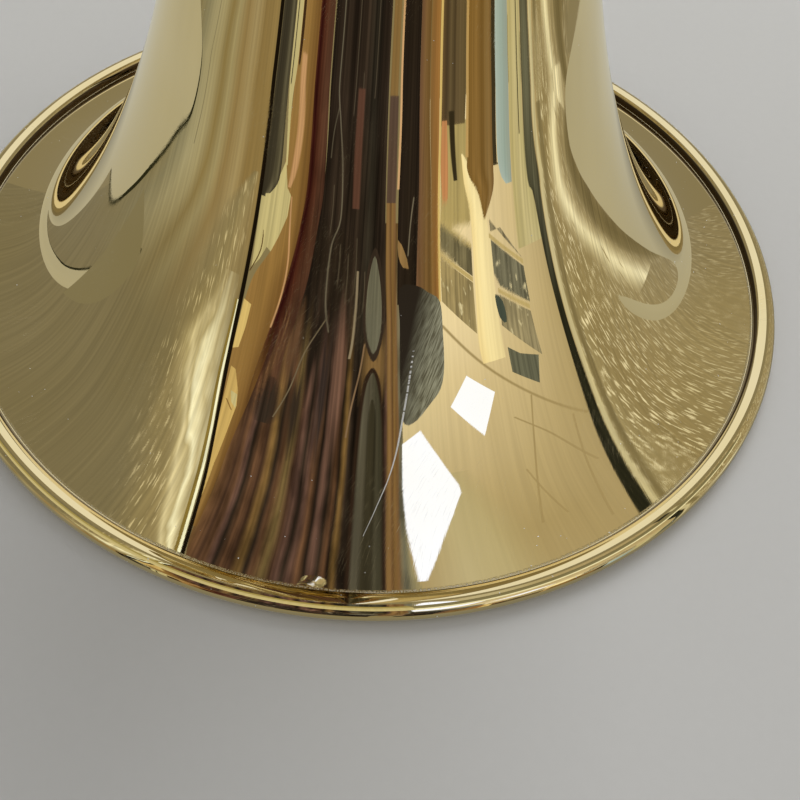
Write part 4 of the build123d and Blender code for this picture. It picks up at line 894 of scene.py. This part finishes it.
def make_bars():
    """The upright bars right of the middle: black, browns, an orange edge, pale blue at the far side."""
    ribbon("black_column", [(TOP, 4.6, 9), (60, 5.8, 9.9), (50, 5.8, 10.3), (36, 6.2, 9.9)],
        [(0, BLACK), (0.5, (46, 38, 29)), (1, BLACK)], 6, drift=0.25)
    patch("tan_spot", [(6, 44), (6.8, 43.4), (8, 41.6), (8.4, 40.4), (7.2, 40.6), (6.2, 42)],
        (140, 110, 68), 7, curved=True)
    thread("grey_scratch", [(49, 9.2), (46, 8.6), (42, 8.2)], 0.35, (110, 100, 80), 7, soft=0.3)
    ribbon("brown_bar", [(TOP, 9.1, 11.6), (60, 9.9, 12.3), (50, 10.2, 13), (36, 9.9, 13.3)],
        [(0, (112, 82, 58)), (0.6, (116, 88, 52)), (1, (104, 78, 42))], 5)
    ribbon("orange_bar", [(TOP, 11.6, 14.2), (60, 12.2, 14.8), (50, 12.9, 14.8), (36, 13.1, 14.9)],
        [(0, BRONZE), (0.5, (140, 100, 54)), (1, ORANGE)], 6, soft=0.1)
    ribbon("gold_edge", [(TOP, 14, 15.3), (60, 14.7, 15.2), (50, 14.6, 15.1), (36, 14.6, 15)], AMBER, 8)
    ribbon("grey_brown_bar", [(TOP, 15.2, 21.2), (64, 15.2, 21.2), (57, 15.1, 20.9)],
        [(0, (96, 76, 48)), (0.2, (76, 62, 42)), (0.35, (100, 84, 56)), (0.5, (80, 66, 44)),
        (0.7, (104, 87, 58)), (1, (98, 82, 52))], 5)
    ribbon("cream_bar", [(57.4, 15, 21.4), (50, 15.2, 21.8), (45, 15.2, 22)], (168, 148, 92), 4, drift=0.15)
    ribbon("coral_bar", [(57.5, 15.2, 16.6), (52, 15.1, 17), (48.2, 15.6, 16.9)], CORAL, 6, soft=0.12)
    ribbon("dark_sliver", [(58.5, 16.7, 18.4), (54, 17.3, 18.8), (50.5, 18.1, 19.2)], (54, 46, 30), 6,
        soft=0.2)
    ribbon("tan_line", [(TOP, 21.1, 21.8), (60, 21.2, 21.8), (53, 21.1, 21.8)], (186, 150, 90), 8)
    ribbon("gold_brown_bar", [(TOP, 21.7, 27.9), (56, 21.7, 27.9), (51.5, 21.5, 28), (48.5, 24, 27.8),
        (45.2, 25.2, 25.5)], [(0, (120, 90, 44)), (0.35, (134, 102, 54)), (0.6, (112, 84, 42)),
        (0.8, (134, 106, 62)), (1, BRONZE)], 7)
    ribbon("bright_streak", [(53.5, 20, 20.4), (50, 20.6, 24), (47, 21.7, 25.3), (43, 22.2, 26.5),
        (36, 22.3, 26.9), (30, 22.1, 27.2), (27, 22.6, 27.4)], [(0, (240, 212, 142)),
        (0.4, (248, 226, 160)), (1, (228, 206, 146))], 5, soft=0.05, drift=0.05)
    ribbon("dark_bar_edge", [(TOP, 27.8, 29.1), (54, 27.9, 28.9), (51.5, 28.2, 29.3)], (62, 54, 36), 8)
    ribbon("blue_bar", [(TOP, 29, 32.4), (56, 29, 32.6), (50.5, 29.6, 32.7), (48.6, 31.2, 32.7)],
        [(0, (170, 182, 166)), (0.5, (152, 166, 150)), (1, (148, 154, 136))], 7, drift=0.05)
    ribbon("cream_bar_right", [(TOP, 32.4, 36), (57, 32.6, 36.5), (48, 32.8, 38), (40, 33, 40.4)],
        [(0, (180, 164, 106)), (0.5, (192, 176, 122)), (1, (180, 166, 112))], 4, soft=0.06)
    thread("cream_bar_line", [(TOP, 35), (66, 35.1), (54, 35.4)], 0.35, (84, 76, 50), 8, soft=0.2)


def make_right_wall():
    """The sand-coloured wall at the right, its ceiling lines and panes, and the streaky gold beyond."""
    ribbon("sand_wall", [(60, 12, 41), (40, 8, 42), (25, 7, 43), (10, 7.4, 42.5), (0, 7.6, 41)],
        [(0, (240, 218, 163)), (0.35, (232, 208, 154)), (0.7, (208, 184, 130)), (1, (170, 148, 98))], 0,
        drift=0.04, fade=(5, 33, (170, 148, 99)))
    ribbon("sand_glow", [(14, 9, 18), (7, 9, 24), (0, 9, 26)], [(0, (192, 175, 126)), (1, (178, 160, 110))],
        1, soft=0.35, drift=0.03)
    lines = (([(33, 15), (26, 24), (18, 36), (15, 41)], 1.0), ([(21, 31), (13, 29), (5, 26.5)], 0.5),
        ([(19, 27), (15, 33), (9, 39)], 0.6), ([(16, 38), (9, 37), (2, 36)], 0.5),
        ([(12, 27), (5, 30.5)], 0.4))
    for i, (points, width) in enumerate(lines):
        thread(f"ceiling_line_{i}", points, width, (160, 138, 90), 1, soft=0.4, drift=0.02)
    panes = (
        ([(15.1, 46), (22, 42.4), (22, 38.4), (15.1, 42.4)], (112, 102, 72)),
        ([(15.1, 41.6), (22, 37.6), (22.1, 31), (15.2, 36)], (150, 132, 88)),
        ([(26.4, 45), (27.6, 44), (34, 38.6), (29, 43.6), (26.6, 43.4)], (146, 132, 96)),
        ([(26.6, 42.4), (34, 37.6), (34.4, 32.8), (28, 36.2), (26.8, 38)], (116, 110, 84)),
        ([(27.6, 35.2), (34.2, 31.6), (35, 25.4), (27.4, 31.2)], (150, 136, 98)))
    strokes = ((216, 200, 150), 0.07, 1.1, 0.5, 0.3, 1.0)
    for i, (outline, tone) in enumerate(panes):
        patch(f"pane_{i}", outline, tone, 6, drift=0.3, mottle=0.25, marks=strokes)
    ledges = (((46, 15), (42.2, 22)), ((42, 15), (38, 22)), ((43, 26.2), (38.2, 34)),
        ((35.8, 27.4), (32.2, 34.2)))
    for i, ((r0, a0), (r1, a1)) in enumerate(ledges):
        patch(f"ledge_{i}", [(a0, r0 + 0.3), (a1, r1 + 0.3), (a1, r1 - 0.3), (a0, r0 - 0.3)],
            (188, 164, 104), 7, drift=0.04)
    patch("dark_frame", [(28, 28.2), (30.4, 26.8), (34.2, 25.6), (33.2, 22), (28.2, 24.8)], (100, 98, 76),
        7, drift=0.25)
    patch("green_corner", [(26.6, 35.4), (28.2, 34.2), (28.6, 31.4), (27.2, 32.2)], (72, 78, 64), 7,
        curved=True)
    ribbon("gold_wall", [(TOP, 40.5, 66), (60, 41, 58), (52, 41, 55), (45, 41.8, 57), (36, 42.8, 64),
        (28, 43.4, 74), (18, 43.4, 88), (8, 42, 100), (0, 40.5, 106)], [(0, (160, 143, 96)),
        (0.15, (144, 125, 80)), (0.5, (148, 130, 86)), (1, (134, 118, 79))], 0, drift=0.10, waver=0.08,
        marks=((236, 218, 164), 0.15, 3.2, 0.36, 0.35, 0.2))
    ribbon("gold_highlight", [(TOP, 43, 56), (66, 43.5, 53.5), (58, 44.6, 50), (50, 43.6, 48.4),
        (44, 44.2, 50.4), (38, 48, 55.2), (33, 52.6, 60.6), (27, 58, 67.6), (22, 64, 74)],
        [(0, (180, 160, 110)), (0.35, (212, 196, 144)), (0.6, (232, 216, 162)), (1, (190, 168, 114))], 2,
        soft=0.45, waver=0.4, drift=0.2, marks=((150, 130, 86), 0.06, 1.5, 0.12, 0.5, 1.0))
    ribbon("olive_edge", [(TOP, 62, 70), (64, 56.5, 64), (56, 51.5, 56), (49, 49.4, 54), (43, 51.6, 57),
        (37, 56, 62), (32, 61, 68), (26, 68.5, 76), (20, 77, 86)], [(0, (128, 112, 72)),
        (0.5, (112, 97, 60)), (1, (120, 104, 66))], 3, soft=0.2, drift=0.15)
    ribbon("line_right", LINE_RIGHT, [(0, (78, 74, 52)), (0.5, (108, 104, 78)), (1, (84, 78, 56))], 9,
        soft=0.08, drift=0.25, fade=(30, 58, (44, 42, 29)))
    ribbon("line_right_pale", [(reach, right, right + 1.2) for reach, _, right in LINE_RIGHT],
        (196, 180, 130), 8, soft=0.2)
    ribbon("line_right_olive", [(reach, right + 1.1, right + 3) for reach, _, right in LINE_RIGHT[1:]],
        (128, 112, 72), 7, soft=0.3)


def make_windows():
    """The two bare windows, the brightest things in the room."""
    white = glow("window_light", (*(1.02 / tint for tint in BRASS[:3]), 1))
    patch("window_strip", [(10.3, 19.9), (7.2, 18.3), (7.1, 13), (7.4, 7.6), (8.4, 1.2), (9.4, 1.2),
        (12.5, 6.3), (16, 11.4), (15.8, 12.4), (13, 16.4)], white, 10)
    patch("window_small", [(19.2, 26), (15.8, 22.4), (21.2, 17.8), (24.2, 23)], white, 10)
    patch("cloth", [(6.6, 38), (10, 38.3), (12.5, 37.3), (14.8, 36), (15.2, 32), (15.1, 27.5), (14.2, 24.9),
        (12.3, 23.2), (9.4, 21), (7.7, 20.8), (7.1, 22.4), (6.9, 26), (6.8, 33)], cloth_paint(), 9,
        curved=True)


def cloth_paint():
    """A dark cloth that turns grey-green towards its lower right, with a fine slanting sheen."""
    material, n = new_material("dark_cloth")
    angle, reach = n.uv("flare")
    slope = n.minus(angle, n.times(reach, 0.32))
    turned = n.ramp(slope, -1.6, 3.4)
    fast = n.plus(n.times(angle, 3.0), n.times(reach, -2.2))
    slant = n.combine(fast, n.times(n.plus(angle, reach), 0.25), 0.0)
    sheen = n.noise(slant, 1.2, detail=3.0)
    grey = n.mix(n.ramp(sheen, 0.35, 0.7), seen(88, 84, 66), seen(150, 148, 124))
    n.surface(n.emission(n.mix(turned, seen(46, 40, 33), grey)))
    return material


# Low curved cards close in front of the rim, which only the bead mirrors: radius and heights in mm. They
# are lower towards the sides, where the flare's own mirrored rays pass lower. Each band is a name, its
# first and last angle, and its stops.
BAND_RADIUS = 65.0
BAND_LOW = 5.6
BAND_HIGH = 18.9
RIM_BANDS = (
    ("rim_band_left", -60, 8, [(0.0, (200, 182, 122)), (0.42, (186, 166, 106)), (0.5, (118, 102, 54)),
        (0.58, (172, 152, 84)), (1.0, (148, 128, 64))]),
    ("rim_band_right", 8, 62, [(0.0, (232, 216, 160)), (0.1, (244, 230, 176)), (0.16, (130, 118, 78)),
        (0.8, (114, 104, 70)), (0.86, (166, 148, 98)), (1.0, (112, 90, 50))]))


def band_top(angle):
    return BAND_HIGH * (0.25 + 0.75 * cos(radians(angle)))


def make_rim_bands():
    """What the bead shows instead of the room: pale gold at the left, olive with a bright foot at right."""
    for name, first, last, stops in RIM_BANDS:
        columns = last - first
        angles = [first + i for i in range(columns + 1)]
        places = [(a, BAND_LOW) for a in angles] + [(a, band_top(a)) for a in angles]
        vertices = [Vector((sin(radians(a)) * BAND_RADIUS, -cos(radians(a)) * BAND_RADIUS, z)) * MM
            for a, z in places]
        faces = [(i, i + 1, columns + i + 2, columns + i + 1) for i in range(columns)]
        mesh = bpy.data.meshes.new(name)
        mesh.from_pydata(vertices, [], faces)
        add_maps(mesh, [(float(z > BAND_LOW), 0.0) for _, z in places], [(a, 0.0) for a, _ in places])
        only_reflected(add_object(name, mesh, card_paint(name, stops, drift=0.06)))


def make_panels():
    """Soft boxes behind the trumpet, out of the camera's reflections; all four figures are degrees."""
    white = glow("soft_panel", (0.95, 0.95, 0.92, 1))
    for i, (azimuth, elevation, width, tall) in enumerate(((180, 44, 50, 40), (180, 12, 26, 10))):
        corners = []
        for a, e in ((-1, -1), (1, -1), (1, 1), (-1, 1)):
            turn, rise = radians(azimuth + a * width / 2), radians(elevation + e * tall / 2)
            corners.append(Vector((sin(turn) * cos(rise), -cos(turn) * cos(rise), sin(rise))) * DOME * 1.03)
        plain_card(f"panel_{i}", corners, white)


# The table's near edge as the brass shows it, in mm, from the right of the bell round behind it to the left
TABLE_RIGHT = [(64, 14), (72, 16.5), (86, 18.6), (105, 17.3), (124, 12.5), (140, 6.5), (153, 4), (163, 17),
    (148, 62)]
TABLE_LEFT = [(-186, 21), (-183, -5), (-169, -11), (-152, 0), (-138, 7), (-121, 13.5), (-105, 17),
    (-90, 19), (-74, 26)]
# A low olive card on the table, left of the bell
LOW_SHADE = ((-100, -26, 0), (-100, 3, 0), (-100, 3, 6.5), (-100, -26, 12))
TABLE_LIFT = 0.00003        # in metres, how far the reflected tables lie above each other
TABLE_SIZE = 6000           # the shown table's radius in mm
TABLE_RIM = 0.022           # width of the table's dark edge, as a share of its distance from the bell's rim
TABLE_HUG = 3.0             # how far in front of the rim the reflected table reaches
TABLE_TURN = 0.19           # its front arc's turn in radians


def flat_shape(name, outline, material, height=0.0):
    mesh = bpy.data.meshes.new(name)
    corners = [Vector((x * MM, y * MM, height)) for x, y in outline]
    mesh.from_pydata(corners, [], tessellate_polygon([corners]))
    return add_object(name, mesh, material)


def make_floor():
    """The table. The brass shows only the part near the bell, so reflections see another shape of it."""
    turns = [2 * pi * i / 128 for i in range(128)]
    disc = [(TABLE_SIZE * cos(turn), TABLE_SIZE * sin(turn)) for turn in turns]
    floor = flat_shape("table", disc, table_top())
    floor.visible_glossy = False
    hug = RIM_RADIUS + TABLE_HUG
    turns = [pi * i / 24 - pi + TABLE_TURN for i in range(25)]
    front = [(hug * cos(turn), hug * sin(turn)) for turn in turns]
    right, left = curve_through(TABLE_RIGHT, grain=3), curve_through(TABLE_LEFT, grain=3)
    outline = [*right, (300, 3000), (-300, 3000), *left, *front]
    only_reflected(flat_shape("table_reflected", outline, reflected_table_top(), TABLE_LIFT))
    lower = [(x, y - TABLE_RIM * (hypot(x, y) - RIM_RADIUS)) for x, y in reversed(left)]
    dark = glow("table_rim", seen(44, 42, 24))
    only_reflected(flat_shape("table_rim", [*left, *lower], dark, 2 * TABLE_LIFT))
    olive = glow("low_shade", seen(126, 113, 76))
    plain_card("low_shade", [Vector(corner) * MM for corner in LOW_SHADE], olive)


SKY = (1.0, 0.99, 0.97, 1)
SKY_STRENGTH = 0.49
SKY_IN_BRASS = (0.29, 0.26, 0.18, 1)
LAMP_PLACE = (0.22, 0.58, 0.60)     # metres
LAMP_SIZE = 0.6
LAMP_POWER = 3.6


def make_light():
    """A soft sky and a large soft box behind at the right; brass and camera see their own plain tones."""
    world = bpy.data.worlds.new("world")
    bpy.context.scene.world = world
    world.use_nodes = True
    n = Nodes(world.node_tree)
    rays = n.add("ShaderNodeLightPath")
    tones = []
    for color, strength in ((SKY, SKY_STRENGTH), (SKY_IN_BRASS, 1.0), (BACKGROUND, 1.0)):
        tone = n.add("ShaderNodeBackground")
        tone.inputs["Color"].default_value = color
        tone.inputs["Strength"].default_value = strength
        tones.append(tone.outputs[0])
    sky = n.blend(rays.outputs["Is Glossy Ray"], tones[0], tones[1])
    n.surface(n.blend(rays.outputs["Is Camera Ray"], sky, tones[2]), "World")
    lamp = bpy.data.lights.new("soft_box", "AREA")
    lamp.shape = "RECTANGLE"
    lamp.size, lamp.size_y = LAMP_SIZE, LAMP_SIZE
    lamp.energy = LAMP_POWER
    light = bpy.data.objects.new("soft_box", lamp)
    light.location = LAMP_PLACE
    light.rotation_mode = "QUATERNION"
    light.rotation_quaternion = (-light.location).to_track_quat("-Z", "Y")
    light.visible_glossy = False
    bpy.context.scene.collection.objects.link(light)


# The valves' small parts, which the real bell doesn't show at the foot of its flare
UNREFLECTED = {f"{part}_{valve}" for valve in (1, 2, 3)
    for part in ("valve_stem", "stem_felts", "finger_button", "button_pearl")}


def dress_nodes():
    """Each CAD node that stays takes the finish of its material slot."""
    finishes = {
        "lacquered_brass": metal("lacquered_brass", BRASS, BRASS_WARM, 0.05, coat=0.3),
        "nickel_silver": metal("nickel_silver", (0.74, 0.71, 0.64, 1), (0.66, 0.62, 0.54, 1), 0.09),
        "silver_plate": metal("silver_plate", (0.90, 0.89, 0.86, 1), (0.82, 0.79, 0.72, 1), 0.05),
        "felt": felt(), "cork": cork(), "pearl": pearl()}
    for entry in frame["record"]["subparts"]:
        node = frame["nodes"][entry["node"]]
        node.data.materials.clear()
        node.data.materials.append(finishes[entry["material_slot"]])
        node.visible_glossy = entry["node"] not in UNREFLECTED


make_camera()
make_floor()
make_light()
make_left_wall()
make_left_strips()
make_dark_curtain()
make_knots()
make_bars()
make_right_wall()
make_windows()
make_rim_bands()
make_panels()
dress_nodes()
make_bell()
make_springs()
bpy.context.scene.view_settings.view_transform = "Standard"
